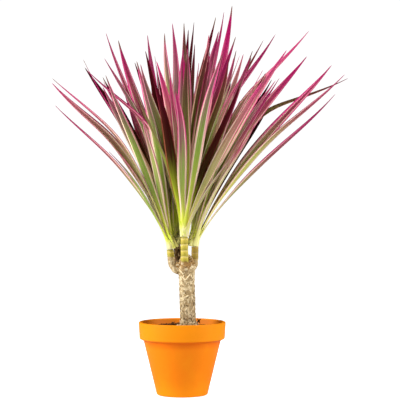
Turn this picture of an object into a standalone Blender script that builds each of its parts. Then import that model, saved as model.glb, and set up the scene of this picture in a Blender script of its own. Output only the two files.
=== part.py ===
"""A potted bicolor madagascar dragon tree: one cut cane with four leafy shoots in an orange clay pot.

Metres, +Z up. The origin is the middle of the pot's underside and the front faces -Y.
"""

import math
import random
from dataclasses import dataclass

import bmesh
import bpy
from mathutils import Matrix, Vector
from mathutils.bvhtree import BVHTree

MM = 0.001
GAP = 0.3 * MM
SHARP = math.radians(35.0)
UP = Vector((0.0, 0.0, 1.0))

# Clay pot: outer and inner radii with their heights.
POT_SIDES = 48
ARC_STEPS = 2
POT_HEIGHT = 125.0 * MM
FOOT_RADIUS = 43.5 * MM
FOOT_ROUND = 2.5 * MM
BODY_TOP_RADIUS = 66.3 * MM
BODY_TOP = 92.9 * MM
BAND_LOW = 96.5 * MM
BAND_LOW_RADIUS = 73.2 * MM
BAND_TOP_RADIUS = 75.0 * MM
BAND_ROUND = 1.2 * MM
LIP_ROUND = 2.0 * MM
MOUTH_RADIUS = 70.2 * MM
MOUTH_LOW = 97.0 * MM
MOUTH_LOW_RADIUS = 68.6 * MM
LEDGE = 92.0 * MM
WALL = 4.6 * MM
FLOOR = 7.0 * MM
FLOOR_ROUND = 3.0 * MM
DRAIN_COUNT = 3
DRAIN_SIDES = 16
DRAIN_RADIUS = 4.5 * MM
DRAIN_CIRCLE = 22.0 * MM

# Soil: low at the wall, a slight mound round the cane, and a little clear of the pot's facets.
SOIL_CLEAR = 0.5 * MM
SOIL_EDGE = 112.6 * MM
SOIL_TOP = 116.0 * MM
SOIL_FLAT = 27.0 * MM
SOIL_STEPS = 4

# Cane: heights above its foot and radii there, in millimetres, up to a rounded callus under the shoots.
TRUNK_SIDES = 20
TRUNK_FOOT = SOIL_TOP + GAP
TRUNK_FOOT_X = 10.1 * MM
TRUNK_LEAN = -0.026
TRUNK_RINGS = (
    (0.0, 15.4), (3.5, 14.2), (9.0, 13.3), (34.0, 13.2), (66.0, 13.3), (88.0, 13.7), (98.0, 14.6),
    (107.0, 14.2), (115.0, 12.2), (121.0, 8.4), (124.0, 3.6),
)
# Knobs round the cane: how many, how tall in millimetres, and how they wind with the height.
TRUNK_KNOBS = ((3, 0.35, 0.09), (5, 0.25, -0.13))
KNOBS_FULL_AT = 10.0

# Shoots: four stations along the middle line, each x, y, z and the radius there, in millimetres.
SHOOT_SIDES = 14
SHOOT_SEGMENTS = 9
SHOOTS = {
    "left": ((-1, -1, 212.5, 6.6), (-10.5, -1.5, 214.8, 7.1), (-17.6, -1.5, 226, 6.6), (-21, -1, 249.6, 5.9)),
    "centre": ((7, -4, 214, 6.6), (5.6, -14.5, 218.5, 7.4), (4.2, -17, 232, 6.7), (4, -17, 270.8, 6.4)),
    "right": ((11, 2, 218.5, 6.4), (19.8, 2.5, 222.3, 6.8), (21.5, 3, 233, 6.3), (22, 3, 253.8, 6.2)),
    "back": ((5, 5, 214, 6.4), (-3, 14.5, 222, 7.0), (-7.6, 15.5, 233, 6.1), (-9, 15.5, 256.6, 5.7)),
}

# Crowns: the way each shoot's leaves lean as a whole, in degrees sideways (+x) and in depth (+y),
# how far from there they spread, and the oval of leans that the whole plant keeps to.
CROWN_HOME = {"left": (-21.0, 1.0), "centre": (0.0, -19.0), "right": (23.0, -1.0), "back": (3.0, 19.0)}
CROWN_SEED = {"left": 11, "centre": 23, "right": 37, "back": 41}
CROWN_SPREAD = 31.0
CROWN_SHARED = 8.0
OVAL_MIDDLE = 4.0
OVAL_SIDEWAYS = 32.0
OVAL_DEPTH = 41.0
RULE_LEAVES = 36

# Leafy stem inside each crown: sizes are shares of the shoot's tip radius at shares of the length.
STEM_LENGTH = 42.0 * MM
STEM_SIDES = 10
STEM_FORM = ((0.0, 0.92), (0.3, 1.09), (0.75, 0.71), (1.0, 0.29))
STEM_LEAN = 0.35
LOW_NODE = 0.14
HIGH_NODE = 0.75
ROOT_OFFSET = 3.0 * MM

# Leaves that draw the outline: sideways and depth lean in degrees, reach in the front view in millimetres,
# the share of the blade's width that the front view sees, and how far the leaf nods outward, in degrees.
OUTLINE_LEAVES = {
    "left": (
        (-36, 8, 358, 0.8, 12), (-34, -6, 356, 0.4, 14), (-38, -12, 312, 0.45, 5), (-25, 4, 350, 0.9, 6),
        (-17, 14, 403, 0.6, 0), (-18, -14, 340, 0.7, 11), (-14, -4, 365, 1.0, 0), (-9, -18, 320, 0.9, 0),
        (-6, 2, 375, 0.8, -4), (-30, -24, 196, 0.5, 0), (-12, -21, 230, 0.8, 0), (-27, -20, 192, 0.4, 0),
    ),
    "centre": (
        (-6, -9, 341, 0.9, 0), (0, -3, 368, 0.8, 0), (-1, -16, 313, 1.0, 0), (9, -8, 355, 1.0, 0),
        (28, -20, 350, 0.95, -2), (-30, -22, 317, 0.6, 26), (14, -16, 343, 0.8, 0), (7, -22, 323, 0.9, 0),
        (3, -9, 324, 0.7, 0), (31, -32, 180, 0.5, 0),
    ),
    "right": (
        (18, 10, 385, 0.6, 8), (21, -4, 385, 0.7, 18), (28, 6, 425, 0.7, 18), (30, -8, 377, 0.9, 6),
        (37, 2, 394, 0.9, 1), (41, -10, 384, 0.6, 6), (43, 14, 406, 0.5, 36), (43, -4, 352, 0.5, -1),
        (16, -14, 342, 0.8, 0), (26, -30, 239, 0.5, 0), (25, -24, 210, 0.5, 0),
    ),
    "back": (
        (-1, 6, 389, 0.9, 0), (4, 12, 400, 0.6, 0), (11.5, 5, 419, 0.6, -6), (13, 10, 442, 1.0, -14),
        (9, 16, 414, 0.8, 0), (3, 20, 389, 0.9, 0),
    ),
}
OUTLINE_STEP = 3.0
OUTLINE_HOME = 0.7
OUTLINE_SLIM = 0.8
SHORT_REACH = 340.0

# Leaves of the seeded rule.
GOLDEN_ANGLE = math.pi * (3.0 - math.sqrt(5.0))
LEAF_LONG = 402.0 * MM
INNER_SHORTER = 51.0 * MM
SHORTEN = (0.04, 0.20)
NARROW = (0.72, 1.0)
TURN = math.radians(55.0)
BOW = 4.0 * MM
JITTER_ANGLE = 0.15
JITTER_LEAN = 1.2
FIRST_INDEX = 0.6
SEED_STEP = 1000

# Leaf form: widths, and shares of the length.
LEAF_WIDE = 18.0 * MM
LEAF_THICKNESS_SHARE = 0.0102
LEAF_SHEATH = 0.72
LEAF_NECK = 0.54
LEAF_NECK_AT = 0.10
LEAF_WIDEST = 0.45
LEAF_TAPER = 2.1
LEAF_CHANNEL = 0.20
LEAF_SWAY = math.radians(11.0)
SWAY_UPRIGHT = 0.36
SWAY_BY_LEAN = 0.35
LEAF_BENDS = ((0.0, 0.25, 0.95), (0.15, 0.75, 0.75))
LEAF_NOD = (0.42, 0.72)
LEAF_CURL_FROM = 0.75
LEAF_CURL = 0.5
TURN_DONE = 0.45
LEAF_STATIONS = (0.0, 0.08, 0.20, 0.38, 0.60, 0.82)
SECTION = 4
LINE_STEPS = 40
UPRIGHT = 0.02
TRIES = 20
CLEARANCE = 0.5 * MM
OWN_CLEAR_FROM = 2

CLAY = (0.93, 0.29, 0.02)
SOIL_BROWN = (0.05, 0.03, 0.02)
BARK = (0.48, 0.34, 0.18)
SHOOT_COLOURS = {
    "left": (0.45, 0.36, 0.12),
    "centre": (0.52, 0.45, 0.10),
    "right": (0.42, 0.29, 0.10),
    "back": (0.16, 0.10, 0.05),
}
LEAF_COLOURS = {
    "left": (0.42, 0.16, 0.16),
    "centre": (0.36, 0.30, 0.12),
    "right": (0.45, 0.14, 0.18),
    "back": (0.28, 0.06, 0.10),
}


@dataclass
class Leaf:
    """A leaf's two ends and its form. Heading is the level direction in which it leaves its stem.

    Nod is the angle by which its upper half bends outward.
    """

    crown: str
    root: Vector
    tip: Vector
    heading: Vector
    width: float
    turn: float
    bow: float
    nod: float = 0.0
    tree: BVHTree = None


def clear_scene():
    for item in list(bpy.data.objects):
        bpy.data.objects.remove(item, do_unlink=True)


def make_material(name, colour, roughness):
    material = bpy.data.materials.new(name)
    material.use_nodes = True
    shader = material.node_tree.nodes["Principled BSDF"]
    shader.inputs["Base Color"].default_value = (*colour, 1.0)
    shader.inputs["Roughness"].default_value = roughness
    shader.inputs["Metallic"].default_value = 0.0
    material.diffuse_color = (*colour, 1.0)
    return material


def make_object(name, points, faces, material=None):
    """A mesh object with its faces turned outward and shaded smooth but at sharp edges."""
    mesh = bpy.data.meshes.new(name)
    mesh.from_pydata([tuple(point) for point in points], [], faces)
    shape = bmesh.new()
    shape.from_mesh(mesh)
    bmesh.ops.recalc_face_normals(shape, faces=shape.faces)
    shape.to_mesh(mesh)
    shape.free()
    mesh.shade_smooth()
    mesh.set_sharp_from_angle(angle=SHARP)
    item = bpy.data.objects.new(name, mesh)
    bpy.context.scene.collection.objects.link(item)
    if material:
        mesh.materials.append(material)
    return item


def ring(centre, radius, sides, across=Vector((1.0, 0.0, 0.0)), other=Vector((0.0, 1.0, 0.0))):
    """Points round a circle in the plane of two directions."""
    points = []
    for k in range(sides):
        angle = 2 * math.pi * k / sides
        points.append(centre + (across * math.cos(angle) + other * math.sin(angle)) * radius)
    return points


def ring_faces(sides, rings):
    """Faces between neighbouring rings of points, with both ends capped by one polygon."""
    faces = []
    for step in range(rings - 1):
        low = step * sides
        high = low + sides
        for k in range(sides):
            after = (k + 1) % sides
            faces.append((low + k, low + after, high + after, high + k))
    faces.append(tuple(range(sides)))
    faces.append(tuple(range((rings - 1) * sides, rings * sides)))
    return faces


def apply_modifiers(item):
    graph = bpy.context.evaluated_depsgraph_get()
    made = bpy.data.meshes.new_from_object(item.evaluated_get(graph))
    item.modifiers.clear()
    item.data = made


def carve(item, cutter):
    """Takes the cutter's space out of the item and removes the cutter."""
    cutter.hide_render = True
    cutter.display_type = "WIRE"
    cut = item.modifiers.new("cut", "BOOLEAN")
    cut.operation = "DIFFERENCE"
    cut.solver = "EXACT"
    cut.object = cutter
    apply_modifiers(item)
    bpy.data.objects.remove(cutter, do_unlink=True)


def keep_largest(item):
    """Drops every loose scrap but the largest body. Bodies that meet only along an edge count as parted."""
    shape = bmesh.new()
    shape.from_mesh(item.data)
    bmesh.ops.triangulate(shape, faces=shape.faces, quad_method="FIXED")
    left = set(shape.faces)
    bodies = []
    while left:
        body = [left.pop()]
        for face in body:
            for edge in face.edges:
                if len(edge.link_faces) != 2:
                    continue
                for other in edge.link_faces:
                    if other in left:
                        left.remove(other)
                        body.append(other)
        bodies.append(body)
    bodies.sort(key=len)
    scraps = [face for body in bodies[:-1] for face in body]
    bmesh.ops.delete(shape, geom=scraps, context="FACES")
    shape.to_mesh(item.data)
    shape.free()


def round_corner(points, radius):
    """The middle one of three profile points replaced by an arc that touches both sides."""
    before, corner, after = (Vector(point) for point in points)
    into = (before - corner).normalized()
    out = (after - corner).normalized()
    half = into.angle(out) / 2
    reach = radius / math.tan(half)
    centre = corner + (into + out).normalized() * (radius / math.sin(half))
    start = corner + into * reach - centre
    end = corner + out * reach - centre
    turn = start.angle(end)
    arc = []
    for k in range(ARC_STEPS + 1):
        share = k / ARC_STEPS
        blend = start * math.sin((1 - share) * turn) + end * math.sin(share * turn)
        arc.append(centre + blend / math.sin(turn))
    return [(point.x, point.y) for point in arc]


def turned(name, profile, material):
    """A solid of revolution whose profile of radii and heights runs from its bottom round to its top."""
    points = []
    for radius, height in profile:
        points += ring(UP * height, radius, POT_SIDES)
    return make_object(name, points, ring_faces(POT_SIDES, len(profile)), material)


def floor_radius():
    """Radius of the pot's inside at its floor, from the slope of the wall."""
    slope = (BODY_TOP_RADIUS - FOOT_RADIUS) / BODY_TOP
    return FOOT_RADIUS + slope * FLOOR - WALL


def pot_profile():
    """Radius and height from the underside, up the outside, over the lip and down the inside."""
    foot = (FOOT_RADIUS, 0.0)
    body_top = (BODY_TOP_RADIUS, BODY_TOP)
    band_low = (BAND_LOW_RADIUS, BAND_LOW)
    band_top = (BAND_TOP_RADIUS, POT_HEIGHT)
    mouth = (MOUTH_RADIUS, POT_HEIGHT)
    mouth_low = (MOUTH_LOW_RADIUS, MOUTH_LOW)
    ledge = (BODY_TOP_RADIUS - WALL, LEDGE)
    inner_foot = (floor_radius(), FLOOR)
    profile = round_corner(((0.0, 0.0), foot, body_top), FOOT_ROUND)
    profile.append(body_top)
    profile += round_corner((body_top, band_low, band_top), BAND_ROUND)
    profile += round_corner((band_low, band_top, mouth), LIP_ROUND)
    profile += round_corner((band_top, mouth, mouth_low), LIP_ROUND)
    profile += [mouth_low, ledge]
    profile += round_corner((ledge, inner_foot, (0.0, FLOOR)), FLOOR_ROUND)
    return profile


def make_pot():
    """The turned pot, with drain holes round the middle of its floor."""
    pot = turned("pot", pot_profile(), make_material("orange_clay", CLAY, 0.45))
    for k in range(DRAIN_COUNT):
        angle = 2 * math.pi * k / DRAIN_COUNT + math.pi / 6
        middle = Vector((math.cos(angle), math.sin(angle), 0.0)) * DRAIN_CIRCLE
        points = []
        for height in (-FLOOR, 2 * FLOOR):
            points += ring(middle + UP * height, DRAIN_RADIUS, DRAIN_SIDES)
        carve(pot, make_object("drain_cutter", points, ring_faces(DRAIN_SIDES, 2)))
    return pot


def make_soil():
    """The soil follows the pot's inside, clear of it, and rises from the wall to a mound."""
    bevel = FLOOR_ROUND + SOIL_CLEAR
    rise = (SOIL_EDGE - MOUTH_LOW) / (POT_HEIGHT - MOUTH_LOW)
    edge = MOUTH_LOW_RADIUS + (MOUTH_RADIUS - MOUTH_LOW_RADIUS) * rise - SOIL_CLEAR
    profile = [
        (floor_radius() - bevel, FLOOR + GAP),
        (floor_radius() - SOIL_CLEAR, FLOOR + GAP + bevel),
        (BODY_TOP_RADIUS - WALL - SOIL_CLEAR, LEDGE + GAP),
        (MOUTH_LOW_RADIUS - SOIL_CLEAR, MOUTH_LOW + GAP),
        (edge, SOIL_EDGE),
    ]
    for step in range(1, SOIL_STEPS + 1):
        share = 1 - step / SOIL_STEPS
        lift = (1 + math.cos(math.pi * share)) / 2
        profile.append((SOIL_FLAT + (edge - SOIL_FLAT) * share, SOIL_EDGE + (SOIL_TOP - SOIL_EDGE) * lift))
    return turned("soil", profile, make_material("potting_soil", SOIL_BROWN, 0.95))


def trunk_points(grow=0.0):
    """Rings of the knobbly cane, grown outward by the given distance."""
    points = []
    for k, (height, radius) in enumerate(TRUNK_RINGS):
        lift = grow * ((k == len(TRUNK_RINGS) - 1) - (k == 0))
        middle = Vector((TRUNK_FOOT_X + TRUNK_LEAN * height * MM, 0.0, TRUNK_FOOT + height * MM + lift))
        for side in range(TRUNK_SIDES):
            angle = 2 * math.pi * side / TRUNK_SIDES
            knob = sum(size * math.sin(count * angle + wind * height) for count, size, wind in TRUNK_KNOBS)
            reach = (radius + knob * min(1.0, radius / KNOBS_FULL_AT)) * MM + grow
            points.append(middle + Vector((math.cos(angle), math.sin(angle), 0.0)) * reach)
    return points


def make_trunk():
    faces = ring_faces(TRUNK_SIDES, len(TRUNK_RINGS))
    return make_object("trunk", trunk_points(), faces, make_material("cane_bark", BARK, 0.85))


def curve_through(stations, steps):
    """Points on a smooth curve through the stations, whose fourth number is the radius."""
    values = [Vector(station) * MM for station in stations]
    ends = [values[0] * 2 - values[1]] + values + [values[-1] * 2 - values[-2]]
    spans = len(values) - 1
    path = []
    for step in range(steps + 1):
        span = min(spans * step // steps, spans - 1)
        t = spans * step / steps - span
        a, b, c, d = ends[span:span + 4]
        bend = (a * 2 - b * 5 + c * 4 - d) * t ** 2 + (b * 3 - a - c * 3 + d) * t ** 3
        path.append((b * 2 + (c - a) * t + bend) / 2)
    return path


def limb_points(path):
    """Rings square to a path, the last of them level."""
    points = []
    for k, station in enumerate(path):
        before = path[max(k - 1, 0)].to_3d()
        after = path[min(k + 1, len(path) - 1)].to_3d()
        along = UP if k == len(path) - 1 else (after - before).normalized()
        across = along.cross(Vector((0.0, 1.0, 0.0))).normalized()
        points += ring(station.to_3d(), station.w, SHOOT_SIDES, across, along.cross(across))
    return points


def make_shoot(name):
    """One bare shoot: a curved, tapering limb whose foot is cut to lie on the cane."""
    path = curve_through(SHOOTS[name], SHOOT_SEGMENTS)
    material = make_material("shoot_bark_" + name, SHOOT_COLOURS[name], 0.7)
    shoot = make_object("shoot_" + name, limb_points(path), ring_faces(SHOOT_SIDES, len(path)), material)
    around = make_object("cane_cutter", trunk_points(GAP), ring_faces(TRUNK_SIDES, len(TRUNK_RINGS)))
    carve(shoot, around)
    keep_largest(shoot)
    return shoot


def smooth_step(value):
    value = min(max(value, 0.0), 1.0)
    return value * value * (3 - 2 * value)


def shoot_tip(name):
    return Vector(SHOOTS[name][-1]).to_3d() * MM


def crown_foot(name):
    """Middle of the crown's flat foot, above the shoot's tip by the gap that parts them."""
    return shoot_tip(name) + UP * GAP


def crown_axis(name):
    """The leafy stem's direction, part of the way towards the lean of its crown."""
    sideways, depth = (math.tan(math.radians(lean * STEM_LEAN)) for lean in CROWN_HOME[name])
    return Vector((sideways, depth, 1.0)).normalized()


def stem_points(name, grow=0.0):
    """The leafy stem: a short swelling taper on a flat foot."""
    points = []
    for share, size in STEM_FORM:
        centre = crown_foot(name) + crown_axis(name) * STEM_LENGTH * share
        if share == 0.0:
            centre -= UP * grow
        points += ring(centre, SHOOTS[name][-1][3] * MM * size + grow, STEM_SIDES)
    return points


def leaf_line(leaf):
    """Middle line of a leaf: steep at the root, bent outward along its length, its tip curled up a little."""
    chord = leaf.tip - leaf.root
    heading = Vector((chord.x, chord.y, 0.0))
    if heading.length < UPRIGHT * chord.length:
        heading = leaf.heading.copy()
    heading.normalize()
    side = UP.cross(heading)
    lean = math.atan2(chord.dot(heading), chord.z)
    sway = min(LEAF_SWAY, SWAY_UPRIGHT * LEAF_SWAY + SWAY_BY_LEAN * lean)
    line = [Vector((0.0, 0.0))]
    for step in range(LINE_STEPS):
        share = (step + 0.5) / LINE_STEPS
        bend = sum(amount * smooth_step((share - start) / (end - start)) for start, end, amount in LEAF_BENDS)
        curl = LEAF_CURL * max(0.0, (share - LEAF_CURL_FROM) / (1 - LEAF_CURL_FROM)) ** 2
        nod = leaf.nod * smooth_step((share - LEAF_NOD[0]) / (LEAF_NOD[1] - LEAF_NOD[0]))
        angle = lean + sway * (bend - curl) + nod
        line.append(line[-1] + Vector((math.sin(angle), math.cos(angle))))
    turn = math.atan2(line[-1].x, line[-1].y) - lean
    fit = Matrix.Rotation(turn, 2) * (chord.length / line[-1].length)
    points = []
    for k, bent in enumerate(line):
        out, rise = fit @ bent
        sideways = leaf.bow * math.sin(math.pi * k / LINE_STEPS)
        points.append(leaf.root + heading * out + UP * rise + side * sideways)
    return points, side


def leaf_width(share):
    """Width as a share of the greatest: a sheath, a narrower neck, the widest part, then a long tip."""
    if share < LEAF_NECK_AT:
        return LEAF_SHEATH + (LEAF_NECK - LEAF_SHEATH) * smooth_step(share / LEAF_NECK_AT)
    if share < LEAF_WIDEST:
        opened = smooth_step((share - LEAF_NECK_AT) / (LEAF_WIDEST - LEAF_NECK_AT))
        return LEAF_NECK + (1 - LEAF_NECK) * opened
    return 1 - ((share - LEAF_WIDEST) / (1 - LEAF_WIDEST)) ** LEAF_TAPER


def leaf_shape(leaf, grow=0.0):
    """Points and faces of one leaf: a blade of four-cornered sections, its edges folded up, ending in a point."""
    line, side = leaf_line(leaf)
    thickness = (leaf.tip - leaf.root).length * LEAF_THICKNESS_SHARE
    points = []
    for share in LEAF_STATIONS:
        k = int(share * LINE_STEPS)
        middle = line[k].lerp(line[k + 1], share * LINE_STEPS - k)
        along = (line[k + 1] - line[max(k - 1, 0)]).normalized()
        turn = leaf.turn * smooth_step(share / TURN_DONE)
        across = side * math.cos(turn) + side.cross(along).normalized() * math.sin(turn)
        face = across.cross(along).normalized()
        half = leaf.width * leaf_width(share) / 2 + grow
        deep = thickness / 2 + grow
        fold = face * LEAF_CHANNEL * half
        points += [
            middle - across * half - fold,
            middle - face * deep,
            middle + across * half - fold,
            middle + face * deep,
        ]
    faces = ring_faces(SECTION, len(LEAF_STATIONS))[:-1]
    end = len(points)
    points.append(line[-1] + (line[-1] - line[-2]).normalized() * grow)
    for k in range(SECTION):
        faces.append((end - SECTION + k, end - SECTION + (k + 1) % SECTION, end))
    return points, faces


def leaf_at(name, tip, width, turn, bow, own_lean):
    """A leaf that runs to the tip from its node: outer leaves sit low on the stem, inner ones high."""
    outer = min(1.0, own_lean.length / CROWN_SPREAD)
    node = HIGH_NODE + (LOW_NODE - HIGH_NODE) * outer
    heading = own_lean.to_3d().normalized()
    root = crown_foot(name) + crown_axis(name) * STEM_LENGTH * node + heading * ROOT_OFFSET
    return Leaf(name, root, tip, heading, width, turn, bow)


def turn_to_show(heading, seen):
    """The smallest turn of a blade that shows this share of its width to the front."""
    bearing = math.atan2(heading.y, heading.x)
    choices = []
    for base in (math.asin(seen), math.pi - math.asin(seen)):
        for sign in (1, -1):
            choices.append((bearing + sign * base + math.pi) % (2 * math.pi) - math.pi)
    return min(choices, key=abs)


def outline_leaf(name, entry, attempt):
    """One of the leaves that draw the outline. Later attempts change only its depth."""
    sideways, depth, reach, seen, nod = entry
    depth += OUTLINE_STEP * ((attempt + 1) // 2) * (1 if attempt % 2 else -1)
    lean = math.radians(sideways)
    chord = Vector((math.sin(lean), math.tan(math.radians(depth)), math.cos(lean))) * reach * MM
    own = Vector((sideways, depth)) - Vector(CROWN_HOME[name]) * OUTLINE_HOME
    width = LEAF_WIDE * (OUTLINE_SLIM + (1 - OUTLINE_SLIM) * seen) * min(1.0, (1 + reach / SHORT_REACH) / 2)
    leaf = leaf_at(name, shoot_tip(name) + chord, width, turn_to_show(chord, seen), 0.0, own)
    leaf.nod = math.radians(nod)
    return leaf


def rule_leaf(name, index, attempt, draw):
    """A leaf of the seeded rule, or nothing where it would lean out of the crown's own space."""
    spread = CROWN_SPREAD * math.sqrt((index + FIRST_INDEX) / RULE_LEAVES)
    angle = GOLDEN_ANGLE * index + draw.uniform(-JITTER_ANGLE, JITTER_ANGLE) * (1 + attempt)
    out = spread + draw.uniform(-JITTER_LEAN, JITTER_LEAN) * (1 + attempt / 2)
    own = Vector((math.cos(angle), math.sin(angle))) * out
    inner = 1 - spread / CROWN_SPREAD
    length = (LEAF_LONG - INNER_SHORTER * inner) * (1 - draw.uniform(*SHORTEN))
    width = LEAF_WIDE * draw.uniform(*NARROW)
    turn = draw.uniform(-TURN, TURN)
    bow = draw.uniform(-BOW, BOW)
    lean = own + Vector(CROWN_HOME[name])
    nearest = min((lean - Vector(home)).length for other, home in CROWN_HOME.items() if other != name)
    in_oval = math.hypot((lean.x - OVAL_MIDDLE) / OVAL_SIDEWAYS, lean.y / OVAL_DEPTH) <= 1.0
    if not in_oval or own.length > nearest + CROWN_SHARED:
        return None
    slope = math.radians(lean.length)
    chord = (lean.normalized() * math.sin(slope)).to_3d() + UP * math.cos(slope)
    return leaf_at(name, crown_foot(name) + chord * length, width, turn, bow, own)


def tree_of(points, faces):
    return BVHTree.FromPolygons([tuple(point) for point in points], faces)


def touches(leaf, limbs, stems, placed):
    """True where the leaf, grown a little, meets a limb, another crown or, past its root, a leaf of its own."""
    points, faces = leaf_shape(leaf, CLEARANCE)
    whole = tree_of(points, faces)
    outer = tree_of(points, [face for face in faces if min(face) >= OWN_CLEAR_FROM * SECTION])
    others = limbs + [stem for name, stem in stems.items() if name != leaf.crown]
    if any(whole.overlap(other) for other in others):
        return True
    return any((outer if other.crown == leaf.crown else whole).overlap(other.tree) for other in placed)


def place(make, limbs, stems, placed):
    """Adds the first of several tries that keeps clear. Where none does, the leaf is left out."""
    for attempt in range(TRIES):
        leaf = make(attempt)
        if leaf and not touches(leaf, limbs, stems, placed):
            leaf.tree = tree_of(*leaf_shape(leaf))
            placed.append(leaf)
            return


def grow_leaves(limbs):
    """All leaves of the four crowns: first those of the outline, then those of the rule, crown by crown."""
    faces = ring_faces(STEM_SIDES, len(STEM_FORM))
    stems = {name: tree_of(stem_points(name, CLEARANCE), faces) for name in SHOOTS}
    placed = []
    for name, entries in OUTLINE_LEAVES.items():
        for entry in entries:
            place(lambda attempt: outline_leaf(name, entry, attempt), limbs, stems, placed)
    for index in range(RULE_LEAVES):
        for name in SHOOTS:
            draw = random.Random(CROWN_SEED[name] * SEED_STEP + index)
            place(lambda attempt: rule_leaf(name, index, attempt, draw), limbs, stems, placed)
    return placed


def make_crown(name, leaves):
    """The leafy stem and its leaves, joined into one solid."""
    material = make_material("leaves_" + name, LEAF_COLOURS[name], 0.5)
    crown = make_object("crown_" + name, stem_points(name), ring_faces(STEM_SIDES, len(STEM_FORM)), material)
    group = bpy.data.collections.new("leaves_" + name)
    bpy.context.scene.collection.children.link(group)
    for k, leaf in enumerate(leaves):
        blade = make_object(f"leaf_{name}_{k}", *leaf_shape(leaf))
        bpy.context.scene.collection.objects.unlink(blade)
        group.objects.link(blade)
        blade.hide_render = True
    join = crown.modifiers.new("join", "BOOLEAN")
    join.operation = "UNION"
    join.operand_type = "COLLECTION"
    join.solver = "EXACT"
    join.collection = group
    apply_modifiers(crown)
    for blade in list(group.objects):
        bpy.data.objects.remove(blade, do_unlink=True)
    bpy.data.collections.remove(group)
    keep_largest(crown)
    print(crown.name, len(leaves), "leaves")
    return crown


def build():
    clear_scene()
    make_pot()
    make_soil()
    limbs = [make_trunk()] + [make_shoot(name) for name in SHOOTS]
    trees = []
    for limb in limbs:
        faces = [tuple(face.vertices) for face in limb.data.polygons]
        trees.append(tree_of([point.co for point in limb.data.vertices], faces))
    leaves = grow_leaves(trees)
    for name in SHOOTS:
        make_crown(name, [leaf for leaf in leaves if leaf.crown == name])


build()
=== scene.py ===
"""A potted bicolor madagascar dragon tree, dressed over its packed solids.

It makes a painted clay pot, soil, a ringed cane, four shoots and their striped sword leaves.
Metres, +Z up, with the front towards -Y, as in the packed frame.
"""

import math
import random
from dataclasses import dataclass

import bpy
import numpy as np
from mathutils import Matrix, Vector, noise
from mathutils.bvhtree import BVHTree


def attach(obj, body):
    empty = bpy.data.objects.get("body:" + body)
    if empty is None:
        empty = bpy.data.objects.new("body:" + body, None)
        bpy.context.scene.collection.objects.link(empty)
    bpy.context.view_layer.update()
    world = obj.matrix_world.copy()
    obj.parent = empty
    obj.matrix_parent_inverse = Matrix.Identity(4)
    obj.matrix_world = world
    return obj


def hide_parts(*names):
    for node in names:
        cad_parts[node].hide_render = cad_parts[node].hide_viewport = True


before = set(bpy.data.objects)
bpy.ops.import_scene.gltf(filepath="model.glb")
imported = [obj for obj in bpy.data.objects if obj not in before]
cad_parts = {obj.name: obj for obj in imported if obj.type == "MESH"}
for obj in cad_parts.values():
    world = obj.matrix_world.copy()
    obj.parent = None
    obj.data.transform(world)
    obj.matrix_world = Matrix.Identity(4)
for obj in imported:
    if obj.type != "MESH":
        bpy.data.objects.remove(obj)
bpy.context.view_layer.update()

bl_info = {
    "name": "Potted Dragon Tree",
    "version": (1, 0, 0),
    "blender": (4, 5, 0),
    "location": "View3D > Sidebar > Dragon Tree",
    "description": "Dresses the packed solids of a potted dragon tree and sets its stage",
    "category": "Object",
}

MM = 0.001
GAP = 0.3 * MM
NOISE_SEED = 1
UP = Vector((0.0, 0.0, 1.0))
ROUND = 2 * math.pi
CROWNS = ("left", "centre", "right", "back")

# Corners of the pot's section from the middle of its underside, in mm: radius, height and rounding.
POT_SECTION = (
    (43.5, 0.0, 2.5), (66.3, 92.9, 1.2), (73.2, 96.5, 1.4), (75.0, 125.0, 2.3), (70.2, 125.0, 2.07),
    (68.6, 97.0, 0.0), (61.7, 92.0, 0.0), (40.6, 7.0, 3.0),
)
POT_SIDES = 96
MOUTH_RADIUS = 70.2
INSIDE_HEIGHTS = (1.0, 122.0)
ARC_STEPS = 5
DRAIN_COUNT = 3
DRAIN_RADIUS = 4.5
DRAIN_DEPTH = 28.0
DRAIN_CIRCLE = 22.0
DRAIN_TURN = math.pi / 6
DRAIN_SIDES = 24
POT_SMOOTH = math.radians(40.0)

# Heights in metres between which the painted light on the band and at the foot, and the painted shade in the
# corner under the band, fade in.
BAND_LIGHT = (0.0945, 0.0985)
FOOT_LIGHT = (0.034, 0.0)
UNDER_BAND_SHADE_FOOT = (0.080, 0.092)
UNDER_BAND_SHADE_TOP = (0.0975, 0.0945)

# Soil, in millimetres. Each kind of lump has its count and the ranges of its three radii.
SOIL_SECTION = ((36.9, 7.5), (40.0, 10.8), (61.1, 92.3), (68.0, 97.4))
SOIL_TOP = 116.0
SOIL_EDGE = 112.6
SOIL_EDGE_RADIUS = 68.9
SOIL_FLAT = 27.0
SOIL_RINGS = 26
SOIL_LUMPS = 9.0
SOIL_FRACTAL = (0.8, 2.0, 4)
LUMP_UNEVEN = (0.72, 1.18)
SEEDS = {"crumbs": 5, "chips": 6, "grit": 8, "heap": 500, "stones": 700, "callus": 60, "folds": 64, "husks": 71}
CRUMB_COUNT = 900
CRUMB_EDGE = 1.6
CRUMB_LIFT = 0.3
CRUMB_SIZES = ((0.4, 1.25),) * 3
CHIP_COUNT = 230
CHIP_EDGE = 3.5
CHIP_LIFT = 0.9
CHIP_TILT = 0.9
CHIP_SIZES = ((1.6, 3.6), (0.9, 1.8), (0.4, 0.9))
HEAP_COUNT = 70
HEAP_SIZES = ((1.8, 4.2), (1.0, 2.4), (0.7, 1.6))
HEAP_ACROSS = (-52.0, 4.0, -6.0)
HEAP_DEEP = (22.0, 60.0, 38.0)
HEAP_EDGE = 6.0
HEAP_LIFT = 0.8
HEAP_HIGH = 3.6
HEAP_MIDDLE = (-8.0, 38.0)
HEAP_REACH = (34.0, 20.0)
GRIT_COUNT = 210
GRIT_SPREAD = 3.2
BANK_FRONT = 9.0
BANK_BACK = 3.6
BANK_FRONT_TO = 4.0
BANK_SLOPE = 1.6
GRIT_SIZES = ((0.7, 2.0),) * 3
STONE_COUNT = 26
STONE_ACROSS = (0.0, 30.0)
STONE_DEEP = (-22.0, -7.0)
STONE_LIFT = (0.8, 4.5)
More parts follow.
